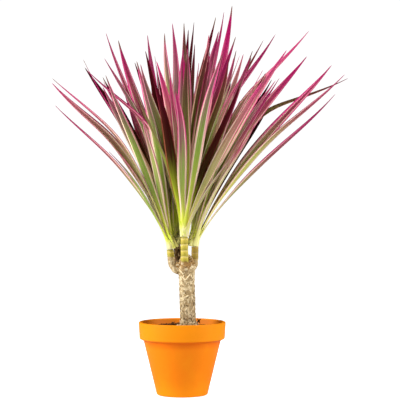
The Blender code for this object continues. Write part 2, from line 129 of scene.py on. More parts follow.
STONE_SIZES = ((1.6, 3.6), (1.2, 2.4), (0.8, 1.8))
SCRAP_PLACE = (28.6, 14.0, 124.9)
SCRAP_RADIUS = 1.3
SCRAP_LENGTH = 14.0
SCRAP_WEAR = (260.0, 0.7)
SCRAP_TURNS = ((0.25, 0.75, 0.1), (0.25, -0.7, 0.5))

# Cane and shoots: x, y, z and radius along the middle line, in millimetres.
TRUNK_FOOT = 116.3
TRUNK_FOOT_X = 10.1
TRUNK_LEAN = -0.026
TRUNK_RINGS = (
    (0.0, 15.4), (3.5, 14.2), (9.0, 13.3), (34.0, 13.2), (66.0, 13.3), (88.0, 13.7), (98.0, 14.6),
    (107.0, 14.2), (115.0, 12.2), (121.0, 8.4), (124.0, 4.5),
)
SHOOTS = {
    "left": ((-1, -1, 212.5, 6.6), (-10.5, -1.5, 214.8, 7.1), (-17.6, -1.5, 226, 6.6), (-21, -1, 249.6, 5.9)),
    "centre": ((7, -4, 214, 6.6), (5.6, -14.5, 218.5, 7.4), (4.2, -17, 232, 6.7), (4, -17, 270.8, 6.4)),
    "right": ((11, 2, 218.5, 6.4), (19.8, 2.5, 222.3, 6.8), (21.5, 3, 233, 6.3), (22, 3, 253.8, 6.2)),
    "back": ((5, 5, 214, 6.4), (-3, 14.5, 222, 7.0), (-7.6, 15.5, 233, 6.1), (-9, 15.5, 256.6, 5.7)),
}
# Height at which each shoot's skin starts and, there or above, the foot of one of its rings.
SHOOT_SKINS = {
    "left": (236.5, 248.0), "centre": (229.0, 229.3), "right": (231.0, 256.2), "back": (300.0, 300.0),
}
# Callus knobs where the shoots break out of the cane: x, y, z, radius and flatness.
KNOBS = (
    (14.5, -7.5, 232.0, 4.6, 1.1), (17.0, -4.5, 224.5, 4.9, 1.0), (11.0, -9.5, 225.5, 4.6, 0.9),
    (5.2, -13.0, 221.0, 6.6, 0.8), (4.5, -11.0, 215.5, 7.0, 0.8), (-6.5, -5.0, 222.0, 4.6, 1.1),
    (-9.0, -1.5, 213.0, 7.0, 0.9), (19.0, 1.5, 218.5, 6.2, 0.9), (9.0, -3.0, 232.0, 5.6, 1.0),
    (0.0, 8.0, 224.0, 6.4, 1.0), (-1.0, -7.5, 228.0, 3.6, 1.3), (10.5, 6.0, 229.0, 5.0, 1.0),
)
# Raised scars on the cane's front: stations of x, y, z and radius.
CANE_SCARS = (
    (
        (-1.6, -8.5, 205.5, 0.9), (2.0, -11.8, 200.5, 1.1), (5.0, -13.4, 198.0, 1.1), (9.0, -14.0, 200.5, 1.2),
        (13.5, -13.2, 207.5, 1.0),
    ),
    ((13.8, -12.6, 205.0, 0.9), (17.0, -10.8, 200.5, 1.0), (19.6, -8.6, 197.0, 0.8)),
    ((-3.0, -6.5, 166.5, 0.7), (1.5, -10.8, 165.5, 1.0), (6.5, -13.0, 168.0, 1.0), (10.5, -13.4, 170.5, 0.8)),
    ((-2.0, -6.6, 196.0, 0.7), (-1.2, -8.0, 188.0, 1.0), (0.2, -9.4, 178.0, 0.9), (0.6, -9.8, 170.0, 0.7)),
    ((1.0, -11.5, 222.0, 1.3), (-1.5, -9.6, 214.0, 1.5), (2.5, -12.2, 207.0, 1.2)),
)
BARK_VOXEL = 0.8 * MM
BARK_TO_TOP = 400.0
BARK_LUMPS = 7.5
BARK_BLOTCH = (4.0, 4.0, 2.6)
RING_WAVE = (9.0, 9.0, 30.0)
RING_SWAY = 1.6
RING_FROM = 0.38
SKIN_CALMER = 0.35
CANE_STEPS = 60
SHOOT_STEPS = 30
SCAR_STEPS = 12
SCAR_WEAR = (300.0, 0.8)
CALLUS_MIDDLE = (9.0, -14.0, 225.0)
CALLUS_REACH = 21.0
CALLUS_FOOT = 217.0
CALLUS_LUMPS = 40
CALLUS_REACHES = 0.92
CALLUS_SIZES = (1.1, 2.3)
CALLUS_FOLDS = 46
FOLD_SIZES = ((1.4, 3.2), (0.7, 1.5))
FOLD_DEPTH = 0.95
FOLD_CURLS = (0.3, 1.4)
HUSK_SIZES = ((2.2, 5.5), (0.5, 1.5))
HUSK_HEIGHTS = (226.0, 256.0)
HUSK_MIDDLE = (-8.2, 9.0)
HUSK_LEAN = 0.03
HUSK_CURLS = (0.5, 2.6)
# Heights in metres between which the greyer low bark and the calm strip under the callus fade in.
LOW_BARK = (0.205, 0.135)
CALM_FOOT = (0.193, 0.203)
CALM_TOP = (0.224, 0.214)
# Bark flakes: share of all, seed, ranges of length and width, and the highest place on the cane.
FLAKES = {
    "pale": (0.42, 61, (1.6, 3.6), (0.7, 1.5), 96.0),
    "tan": (0.30, 62, (1.6, 3.6), (0.7, 1.5), 100.0),
    "dark": (0.28, 63, (0.8, 1.9), (0.5, 1.1), 60.0),
}
FLAKE_LOWEST = 2.0
FLAKE_SLANT = 0.55
FLAKE_CURLS = (0.1, 0.9)
FLAKE_VARIES = (0.25, 0.1)
FLAKE_SMOOTH = math.radians(50.0)
# Each flake has two layers of 4 rows of 3 points. The rim is the way round a layer.
FLAKE_RIM = (0, 3, 6, 9, 10, 11, 8, 5, 2, 1)

# Leaf rule: the same sizes, seeds and draws as the solids have.
CROWN_HOME = {"left": (-21.0, 1.0), "centre": (0.0, -19.0), "right": (23.0, -1.0), "back": (3.0, 19.0)}
CROWN_SEED = {"left": 11, "centre": 23, "right": 37, "back": 41}
CROWN_SPREAD = 31.0
CROWN_SHARED = 8.0
OVAL_MIDDLE = 4.0
OVAL_SIDEWAYS = 32.0
OVAL_DEPTH = 41.0
RULE_LEAVES = 36
STEM_LENGTH = 42.0 * MM
STEM_SIDES = 10
STEM_FORM = ((0.0, 0.92), (0.3, 1.09), (0.75, 0.71), (1.0, 0.29))
STEM_LEAN = 0.35
LOW_NODE = 0.14
HIGH_NODE = 0.75
ROOT_OFFSET = 3.0 * MM
# Each entry: sideways lean, depth lean, reach in the front view, share of the width seen, nod and the kind.
OUTLINE_LEAVES = {
    "left": (
        (-36, 8, 358, 0.8, 12, "cream"), (-34, -6, 356, 0.4, 14, "rose"), (-38, -12, 312, 0.45, 5, "rose"),
        (-25, 4, 350, 0.9, 6, "dark"), (-17, 14, 403, 0.6, 0, "rose"), (-18, -14, 340, 0.7, 11, "green"),
        (-14, -4, 365, 1.0, 0, "rose"), (-9, -18, 320, 0.9, 0, "green"), (-6, 2, 375, 0.8, -4, "rose"),
        (-30, -24, 196, 0.5, 0, "green"), (-12, -21, 230, 0.8, 0, "green"), (-27, -20, 192, 0.4, 0, "cream"),
    ),
    "centre": (
        (-6, -9, 341, 0.9, 0, "green"), (0, -3, 368, 0.8, 0, "olive"), (-1, -16, 313, 1.0, 0, "green"),
        (9, -8, 355, 1.0, 0, "green"), (28, -20, 350, 0.95, -2, "cream"), (-30, -22, 317, 0.6, 26, "rose"),
        (14, -16, 343, 0.8, 0, "rose"), (7, -22, 323, 0.9, 0, "olive"), (3, -9, 324, 0.7, 0, "olive"),
        (31, -32, 180, 0.5, 0, "cream"),
    ),
    "right": (
        (18, 10, 385, 0.6, 8, "olive"), (21, -4, 385, 0.7, 18, "rose"), (28, 6, 425, 0.7, 18, "cream"),
        (30, -8, 377, 0.9, 6, "rose"), (37, 2, 394, 0.9, 1, "rose"), (41, -10, 384, 0.6, 6, "rose"),
        (43, 14, 406, 0.5, 36, "olive"), (43, -4, 352, 0.5, -1, "rose"), (16, -14, 342, 0.8, 0, "green"),
        (26, -30, 239, 0.5, 0, "cream"), (25, -24, 210, 0.5, 0, "cream"),
    ),
    "back": (
        (-1, 6, 389, 0.9, 0, "green"), (4, 12, 400, 0.6, 0, "dark"), (11.5, 5, 419, 0.6, -6, "rose"),
        (13, 10, 442, 1.0, -14, "rose"), (9, 16, 414, 0.8, 0, "dark"), (3, 20, 389, 0.9, 0, "dark"),
    ),
}
OUTLINE_STEP = 3.0
OUTLINE_HOME = 0.7
OUTLINE_SLIM = 0.8
SHORT_REACH = 340.0
GOLDEN_ANGLE = math.pi * (3.0 - math.sqrt(5.0))
LEAF_LONG = 402.0 * MM
INNER_SHORTER = 51.0 * MM
SHORTEN = (0.04, 0.20)
NARROW = (0.72, 1.0)
TURN = math.radians(55.0)
BOW = 4.0 * MM
JITTER_ANGLE = 0.15
JITTER_LEAN = 1.2
FIRST_INDEX = 0.6
SEED_STEP = 1000
LEAF_WIDE = 18.0 * MM
LEAF_THICKNESS_SHARE = 0.0102
LEAF_SHEATH = 0.72
LEAF_NECK = 0.54
LEAF_NECK_AT = 0.10
LEAF_WIDEST = 0.45
LEAF_TAPER = 2.1
LEAF_CHANNEL = 0.20
LEAF_SWAY = math.radians(11.0)
SWAY_UPRIGHT = 0.36
SWAY_BY_LEAN = 0.35
LEAF_BENDS = ((0.0, 0.25, 0.95), (0.15, 0.75, 0.75))
LEAF_NOD = (0.42, 0.72)
LEAF_CURL_FROM = 0.75
LEAF_CURL = 0.5
TURN_DONE = 0.45
LEAF_STATIONS = (0.0, 0.08, 0.20, 0.38, 0.60, 0.82)
SECTION = 4
LINE_STEPS = 40
UPRIGHT = 0.02
TRIES = 20
CLEARANCE = 0.5 * MM
OWN_CLEAR_FROM = 2

# Fine leaves: how the rule's leaves are dressed.
KINDS = ("green", "rose", "cream", "olive", "dark")
# The dark kind is near-black painted shade. It is dealt mostly to leaves at the back and inside the crowns, and
# seldom to those in front.
KIND_SHARES = {
    "left": (0.12, 0.22, 0.06, 0.18, 0.42),
    "centre": (0.10, 0.18, 0.06, 0.20, 0.46),
    "right": (0.10, 0.22, 0.16, 0.16, 0.36),
    "back": (0.02, 0.20, 0.02, 0.12, 0.64),
}
FRONT_SHARES = (0.36, 0.24, 0.16, 0.18, 0.06)
FRONT_FROM = -0.4
# Kinds of the rule's leaves that stand in front, by crown and place in its row. The dark ones among them are
# painted shade.
KIND_CHOSEN = {
    "left": {17: "green", 26: "green", 27: "cream"},
    "centre": {
        17: "cream", 20: "olive", 22: "olive", 24: "dark", 25: "green", 28: "dark", 30: "cream", 31: "olive",
        32: "green",
    },
    "right": {27: "cream", 30: "green"},
    "back": {22: "cream"},
}
# Leaves of the rule that would fill the open sky between the outer ones.
OPEN_SKY = {
    "left": (12, 13, 18, 20, 22, 24), "centre": (11, 33), "right": (11, 14, 16, 19, 21, 28), "back": (8, 27),
}
# How light chosen leaves are among their kind, from 0 to 1. These also paint light and shade: some leaves that
# stand in the light are made lighter, and some in the shade darker.
SHADE_FACTOR = 11.3
SHADE_TURNS = 11
SHADES = {
    "left": {0: 0.95, 4: 0.9, 6: 0.6, 10: 0.9, 11: 0.6, 25: 0.85, 27: 0.5},
    "centre": {
        4: 0.85, 7: 0.3, 14: 0.9, 17: 0.9, 18: 0.85, 20: 0.12, 24: 0.7, 25: 0.6, 27: 0.9, 28: 0.8, 30: 0.75,
        31: 0.1, 32: 0.4,
    },
    "right": {2: 0.9, 3: 0.9, 4: 0.9, 6: 0.8, 9: 0.4, 18: 0.9, 27: 0.3, 30: 0.7},
    "back": {22: 0.5},
}
# Outline leaves whose outer half turns further towards the front, in radians.
TWISTS = {("right", 6): 0.22}
KIND_SEED = 7
ACROSS = 7
BLADE_RINGS = 30
RINGS_CLOSER = 1.12
SHEATH_RINGS = 5
SHEATH_BELOW = 13.0 * MM
SHEATH_FOOT_ANGLE = 2.8
SHEATH_ANGLE = 1.35
SHEATH_NARROWS = 15.0 * MM
SHEATH_FLATTENS = 22.0 * MM
SHEATH_OUTER = 6.4
SHEATH_INNER = 3.2
SHEATH_LIFT = 0.45
SHEATH_THICK = 0.3 * MM
BLADE_THICK = 1.0 * MM
BLADE_CHANNEL = 0.26
TIP_POWER = 0.97
TIP_LEAST = 0.09
TIP_FROM = 0.988
BLADE_WIDER = 1.06
FLICK = 5.0 * MM
SWING = 3.0 * MM
MAP_EDGE = 0.006
FOOT_MARK = -0.05
PUSHED_TO = 0.25
FLICK_FROM = 0.72
TWIST_FROM = 0.35
TWIST_OVER = 0.25
STEM_THINNER = 0.6 * MM
DRY_TIP = (0.17, 0.10, 0.06)
GOLDEN_SHARE = 0.618034
STEM_FINE_SIDES = 20
STEM_SKIN_FROM = 200.0
STEM_RING_START = 205.0

# Stage, in metres.
FLOOR_RADIUS = 14.0
GLOW_REACH = (0.10, 0.70)
LIGHT_SIZE = 1.4
LIGHT_AIM = (0.0, 0.0, 0.3)
KEY_PLACE = (-2.25, -0.9, 1.3)
FILL_PLACE = (2.25, -0.8, 1.3)
CAMERA_PLACE = (0.0306, -2.32, 0.334)


def scalar(name, about, value, **more):
    return bpy.props.FloatProperty(name=name, description=about, default=value, **more)


def count(name, about, value):
    return bpy.props.IntProperty(name=name, description=about, default=value, min=0)


def share(name, about, value):
    return scalar(name, about, value, min=0.0, max=1.0, subtype="FACTOR")


def length(name, about, value):
    return scalar(name, about, value, min=0.0, unit="LENGTH", precision=5)


def colour(name, about, value):
    return bpy.props.FloatVectorProperty(
        name=name, description=about, default=value, min=0.0, max=1.0, subtype="COLOR"
    )


class PotSettings(bpy.types.PropertyGroup):
    """Finish of the clay pot."""

    paint: colour("Paint", "Orange paint on the outside", (0.94, 0.236, 0.003))
    # The pale paint serves twice: as the paler patches of the mottling, and as painted light on the band and at
    # the foot.
    pale_and_painted_light_paint: colour("Pale paint", "Paler paint, on the band and at the foot", (0.97, 0.305, 0.004))
    inside: colour("Inside", "Thinly painted clay above the soil", (0.80, 0.215, 0.012))
    # The corner colour is painted shade: darker, redder paint in the corner under the band.
    corner: colour("Corner", "Redder paint in the corner under the band", (0.80, 0.13, 0.002))
    mottling: share("Mottling", "How much the paint varies", 0.55)
    turning: share("Turning marks", "How strong the marks of turning are", 0.5)


class SoilSettings(bpy.types.PropertyGroup):
    """Colours and sizes of the potting mix."""

    dark: colour("Mix", "Dark crumbs of the mix", (0.040, 0.017, 0.007))
    brown: colour("Bark chips", "Brown chips in the mix", (0.20, 0.075, 0.022))
    pale: colour("Grit", "Pale grit round the foot of the cane", (0.66, 0.50, 0.30))
    crumb: length("Crumb", "Usual radius of a crumb", 1.6 * MM)
    relief: length("Relief", "Height of the unevenness of the mix", 1.5 * MM)


class BarkSettings(bpy.types.PropertyGroup):
    """Colours and relief of the cane and the shoots."""

    pale: colour("Pale bark", "Cream patches of the cane", (0.90, 0.74, 0.46))
    mid: colour("Bark", "Usual tan of the cane", (0.52, 0.37, 0.18))
    dark: colour("Dark bark", "Pits and shaded scars", (0.11, 0.055, 0.02))
    low: colour("Low bark", "Greyer bark near the soil", (0.46, 0.33, 0.17))
    callus: colour("Callus", "Ruddy folds where the shoots break out", (0.38, 0.20, 0.055))
    old: colour("Old bark", "Dead bark and dry husks round the back shoot", (0.13, 0.065, 0.02))
    green: colour("Green skin", "Yellow-green skin of young shoots", (0.66, 0.52, 0.07))
    olive: colour("Olive skin", "Olive lower part of each ring", (0.44, 0.36, 0.04))
    cream: colour("Leaf scar", "Pale line at the top of each ring", (0.80, 0.66, 0.26))
    ochre: colour("Ochre skin", "Riper skin of the right shoot", (0.46, 0.31, 0.045))
    relief: length("Relief", "Height of the bark's unevenness", 0.75 * MM)
    ring_gap: length("Ring gap", "Distance from one leaf scar to the next", 10.4 * MM)
    flakes: count("Flakes", "Number of bark flakes on the cane", 420)
    husks: count("Husks", "Number of dry husks round the back shoot", 46)


class StageSettings(bpy.types.PropertyGroup):
    """Floor, light and camera."""

    floor: colour("Floor", "Colour of the floor", (0.80, 0.80, 0.80))
    glow_near: share("Glow near", "How bright the floor looks under the pot, as on a light table", 0.80)
    glow_far: share("Glow far", "How bright the floor looks further away", 1.0)
    backdrop: scalar("Backdrop", "Brightness of the white backdrop", 1.05)
    world: scalar("Sky", "Strength of the even white light", 0.03)
    key: scalar("Key light", "Power of the big soft light on the left", 96.0, unit="POWER")
    fill: scalar("Fill light", "Power of the soft light on the right", 66.0, unit="POWER")
    lens: scalar("Lens", "Focal length of the camera", 121.4, unit="CAMERA")


LEAF_COLOURS = {
    "sheath": "Pale sheath below the blade", "foot": "Foot of the leaf", "middle": "Blade in its lower half",
    "upper": "Blade in its upper half", "line": "Pale line between blade and margin",
    "low_margin": "Margin in the lower half", "high_margin": "Margin in the upper half",
    "tip": "Colour of the long tip", "edge": "Thin line along the outer edge",
}
LEAF_SHARES = {
    "margin": "Margin's share of each half of the blade", "streaks": "How strong the pale streaks are",
    "rise": "How much higher up the leaf its colours turn", "gloss": "How much the leaf shines",
}
# Colours and shares of each kind, in the order above.
LEAF_FINISHES = {
    "green": (
        (0.88, 0.80, 0.38), (0.64, 0.73, 0.060), (0.29, 0.44, 0.06), (0.25, 0.12, 0.11), (0.95, 0.78, 0.54),
        (0.96, 0.66, 0.50), (0.82, 0.10, 0.32), (0.42, 0.006, 0.115), (0.50, 0.03, 0.12),
        0.42, 0.35, 0.04, 0.14,
    ),
    "rose": (
        (0.90, 0.81, 0.46), (0.70, 0.73, 0.12), (0.34, 0.34, 0.08), (0.26, 0.030, 0.060), (0.95, 0.74, 0.54),
        (0.95, 0.58, 0.46), (0.78, 0.07, 0.28), (0.37, 0.004, 0.100), (0.38, 0.008, 0.08),
        0.50, 0.65, -0.08, 0.14,
    ),
    "cream": (
        (0.91, 0.83, 0.46), (0.82, 0.82, 0.25), (0.52, 0.51, 0.16), (0.42, 0.15, 0.13), (0.97, 0.84, 0.58),
        (0.95, 0.68, 0.48), (0.80, 0.12, 0.28), (0.52, 0.03, 0.16), (0.50, 0.07, 0.10),
        0.44, 0.90, 0.00, 0.16,
    ),
    "olive": (
        (0.78, 0.73, 0.28), (0.53, 0.62, 0.045), (0.19, 0.21, 0.035), (0.12, 0.045, 0.022), (0.82, 0.56, 0.34),
        (0.78, 0.40, 0.28), (0.42, 0.020, 0.10), (0.17, 0.003, 0.032), (0.15, 0.010, 0.02),
        0.28, 0.40, 0.02, 0.08,
    ),
    # The dark kind: near-black blades that are painted shade for leaves deep in the crowns.
    "dark": (
        (0.84, 0.78, 0.34), (0.50, 0.60, 0.035), (0.030, 0.018, 0.004), (0.040, 0.004, 0.003), (0.26, 0.08, 0.035),
        (0.18, 0.035, 0.020), (0.20, 0.006, 0.028), (0.085, 0.002, 0.012), (0.035, 0.002, 0.004),
        0.20, 0.15, -0.06, 0.02,
    ),
}


def leaf_settings(kind):
    """A property group for one kind of leaf, with that kind's own defaults."""
    fields = {}
    for (field, about), value in zip({**LEAF_COLOURS, **LEAF_SHARES}.items(), LEAF_FINISHES[kind]):
        make = colour if field in LEAF_COLOURS else scalar if field == "rise" else share
        fields[field] = make(field.replace("_", " ").capitalize(), about, value)
    members = {"__doc__": f"Colours of the {kind} kind of leaf.", "__annotations__": fields}
    return type(kind.capitalize() + "LeafSettings", (bpy.types.PropertyGroup,), members)


SETTINGS = {
    "plant_pot": PotSettings,
    "plant_soil": SoilSettings,
    "plant_bark": BarkSettings,
    "plant_stage": StageSettings,
    **{"plant_leaf_" + kind: leaf_settings(kind) for kind in KINDS},
}


def deselect():
    bpy.ops.object.select_all(action="DESELECT")


def activate(item):
    deselect()
    item.select_set(True)
    bpy.context.view_layer.objects.active = item


def link(name, data):
    """A new object for a mesh, a curve, a light or a camera."""
    item = bpy.data.objects.new(name, data)
    bpy.context.scene.collection.objects.link(item)
    return item


def mesh_object(name, points, faces):
    mesh = bpy.data.meshes.new(name)
    mesh.from_pydata(points, [], faces)
    return link(name, mesh)


def face_outwards():
    """Turns all faces of the active object outwards, and leaves edit mode."""
    bpy.ops.object.mode_set(mode="EDIT")
    bpy.ops.mesh.select_all(action="SELECT")
    bpy.ops.mesh.normals_make_consistent(inside=False)
    bpy.ops.object.mode_set(mode="OBJECT")


def modify(item, kind, **settings):
    """Adds a modifier with its settings and applies it."""
    modifier = item.modifiers.new(kind.lower(), kind)
    for key, value in settings.items():
        setattr(modifier, key, value)
    activate(item)
    bpy.ops.object.modifier_apply(modifier=modifier.name)


def roughen(item, scale, amount):
    """Moves each point by up to an amount in millimetres. Without a seed, noise_vector follows the clock."""
    noise.seed_set(NOISE_SEED)
    for point in item.data.vertices:
        point.co += noise.noise_vector(point.co * scale) * amount * MM


def join(items, name):
    """Joins objects into the first of them and names it."""
    activate(items[0])
    for item in items:
        item.select_set(True)
    bpy.ops.object.join()
    items[0].name = items[0].data.name = name
    return items[0]


def settle(item):
    """Puts the object at the origin, unturned and unscaled, with its place in its mesh."""
    activate(item)
    bpy.ops.object.transform_apply(location=True, rotation=True, scale=True)


def finish_piece(item, slot, materials, replaced=True):
    """Hands a finished piece to the frame: its materials, its body, its slot and the node it stands for."""
    settle(item)
    item.data.materials.clear()
    for material in materials:
        item.data.materials.append(material)
    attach(item, "root")
    if replaced:
        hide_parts(slot)
    return item


class Wire:
    """An output in a node tree. Arithmetic, steps and blends on it add further nodes."""

    def __init__(self, socket):
        self.socket = socket

    def add(self, kind, inputs, output=0, **settings):
        return add_node(self.socket.id_data, kind, inputs, output, **settings)

    def maths(self, operation, *values):
        return self.add("Math", enumerate((self, *values)), operation=operation)

    def __add__(self, other):
        return self.maths("ADD", other)

    def __sub__(self, other):
        return self.maths("SUBTRACT", other)

    def __rsub__(self, other):
        return self.add("Math", {0: other, 1: self}, operation="SUBTRACT")

    def __mul__(self, other):
        return self.maths("MULTIPLY", other)

    def __truediv__(self, other):
        return self.maths("DIVIDE", other)

    def __abs__(self):
        return self.maths("ABSOLUTE")

    def step(self, low, high):
        """0 below low, 1 above high and smooth between them."""
        values = {"Value": self, "From Min": low, "From Max": high}
        return self.add("MapRange", values, interpolation_type="SMOOTHSTEP")

    def blend(self, first, second):
        """The first colour where this is 0, and the second where it is 1."""
        return self.add("Mix", {0: self, 6: first, 7: second}, 2, data_type="RGBA")

    def grey(self):
        return self.add("CombineColor", {0: self, 1: self, 2: self})

    def shaded(self, shade):
        """This colour, darkened by a shade."""
        inputs = {0: 1.0, 6: self, 7: shade.grey()}
        return self.add("Mix", inputs, 2, data_type="RGBA", blend_type="MULTIPLY")

    def noise(self, scale, detail=3.0, roughness=0.55, distortion=0.0):
        values = {"Scale": scale, "Detail": detail, "Roughness": roughness, "Distortion": distortion}
        return self.add("TexNoise", {"Vector": self, **values})

    def mapped(self, scale, turn=(0.0, 0.0, 0.0)):
        return self.add("Mapping", {"Vector": self, "Scale": scale, "Rotation": turn})

    def axes(self):
        return [self.add("SeparateXYZ", {0: self}, axis) for axis in "XYZ"]


def feed(node, inputs):
    """Links wires to a node's inputs, and sets inputs to plain values."""
    for key, value in dict(inputs).items():
        target = node.inputs[key]
        if isinstance(value, Wire):
            target.id_data.links.new(value.socket, target)
        elif target.type == "RGBA":
            target.default_value = (*value[:3], 1.0)
        else:
            target.default_value = value
    return node


def add_node(tree, kind, inputs=(), output=0, **settings):
    """Adds a node with its settings and inputs, and returns one of its outputs."""
    node = tree.nodes.new("ShaderNode" + kind)
    for key, value in settings.items():
        setattr(node, key, value)
    return Wire(feed(node, inputs).outputs[output])


def shader_group(name, colours, values, outputs):
    """Turns a builder into a shader node group that is built once and placed in each material.

    The group takes a vector, the colours and the values, and puts out a colour and the named values.
    """
    def wrap(build):
        def new_group():
            tree = bpy.data.node_groups.new(name, "ShaderNodeTree")
            sockets = [("INPUT", "Vector", "Vector")] + [("INPUT", title, "Color") for title in colours]
            sockets += [("INPUT", title, "Float") for title in values] + [("OUTPUT", "Colour", "Color")]
            sockets += [("OUTPUT", title, "Float") for title in outputs]
            for way, title, kind in sockets:
                tree.interface.new_socket(title, in_out=way, socket_type="NodeSocket" + kind)
            source = tree.nodes.new("NodeGroupInput").outputs
            results = build(*(Wire(socket) for socket in source if socket.name))
            feed(tree.nodes.new("NodeGroupOutput"), enumerate(results))
            return tree

        def place(tree, *inputs):
            node = tree.nodes.new("ShaderNodeGroup")
            node.node_tree = bpy.data.node_groups.get(name) or new_group()
            return [Wire(socket) for socket in feed(node, enumerate(inputs)).outputs]
        return place
    return wrap


@shader_group("Mottle", ("Base", "Pale", "Dark"), ("Scale", "Amount"), ("Height", "Roughness"))
def mottle_group(place, base, pale, dark, scale, amount):
    """Uneven colour at two scales, for paint, clay and soil."""
    broad = place.noise(scale)
    fine = place.noise(scale * 12.0, 4.0, 0.65)
    mixed = (broad.step(0.45, 0.70) * amount).blend(base, pale)
    mixed = (fine.step(0.56, 0.74) * (amount * 0.6)).blend(mixed, dark)
    return mixed, broad * 0.6 + fine * 0.4, (fine - 0.5) * 0.3 + 0.5


@shader_group("Bark", ("Pale", "Mid", "Dark", "Low", "Callus"), ("Ring Gap", "Rings"), ("Height",))
def bark_group(place, pale, mid, dark, low, callus, ring_gap, rings):
    """Blotched bark: cream patches, ruddy callus, greyer near the soil, with pits, cracks and faint scars."""
    height = place.axes()[2]
    broad = place.mapped((1.0, 1.0, 0.75)).noise(150.0, 4.0, 0.62, 0.5)
    specks = place.noise(420.0, 3.0, 0.7)
    fine = place.noise(900.0, 3.0, 0.7)
    slanted = place.mapped((0.35, 1.0, 1.0), (0.0, 0.62, 0.0))
    cells = slanted.add("TexVoronoi", {"Vector": slanted, "Scale": 210.0}, feature="DISTANCE_TO_EDGE")
    around = ((broad * 0.004 + height) / ring_gap).maths("FRACT")
    scars = abs(around - 0.5).step(0.44, 0.49) * rings
    down = (broad * 0.05 + height).step(*LOW_BARK)
    mixed = (broad.step(0.46, 0.60) * (down * -0.45 + 1.0)).blend(down.blend(mid, low), pale)
    away = place.add("VectorMath", {0: place, 1: Vector(CALLUS_MIDDLE) * MM}, "Value", operation="DISTANCE")
    wavy = broad * 0.008
    folds = (wavy + away).step(CALLUS_REACH * MM, 0.6 * CALLUS_REACH * MM)
    folds *= (wavy + height).step(CALLUS_FOOT * MM, (CALLUS_FOOT + 6.0) * MM)
    mixed = (folds * 0.95).blend(mixed, broad.step(0.53, 0.62).blend(callus, pale))
    calm = height.step(*CALM_FOOT) * height.step(*CALM_TOP)
    mixed = (specks.step(0.57, 0.68) * (down * 0.20 + 0.55) * (calm * -0.7 + 1.0)).blend(mixed, dark)
    mixed = (fine.step(0.57, 0.68) * 0.55).blend(mixed, dark)
    cracks = cells.step(0.09, 0.0) * (folds * 0.35 + 0.40)
    mixed = (scars * 0.6).blend(cracks.blend(mixed, dark), dark)
    return mixed, specks * -0.8 + broad - cracks * 0.8


@shader_group("Ringed skin", ("Skin", "Olive", "Cream", "Dark"), ("Ring Gap", "Ring Start"), ("Height",))
def ring_group(place, skin, olive, cream, dark, ring_gap, ring_start):
    """Skin of a young shoot: each ring runs from olive to yellow, with a pale scar and a dark joint on top."""
    waved = place.noise(70.0, 2.0) * 0.0035 + place.axes()[2] - ring_start
    part = (waved / ring_gap).maths("FRACT")
    patches = place.noise(170.0, 3.0, 0.6)
    mixed = (patches * 0.7 + (part - 0.35)).step(0.10, 0.85).blend(olive, skin)
    mixed = (part.step(0.74, 0.82) * part.step(0.965, 0.93) * 0.6).blend(mixed, cream)
    joint = part.step(0.95, 0.985).maths("MAXIMUM", part.step(0.05, 0.01))
    mixed = (joint * 0.55).blend(mixed, dark)
    mixed = (place.noise(700.0, 3.0, 0.7).step(0.60, 0.72) * 0.35).blend(mixed, dark)
    return mixed, joint * -0.8 + patches * 0.4


BLADE_COLOURS = [field.replace("_", " ").capitalize() for field in LEAF_COLOURS]


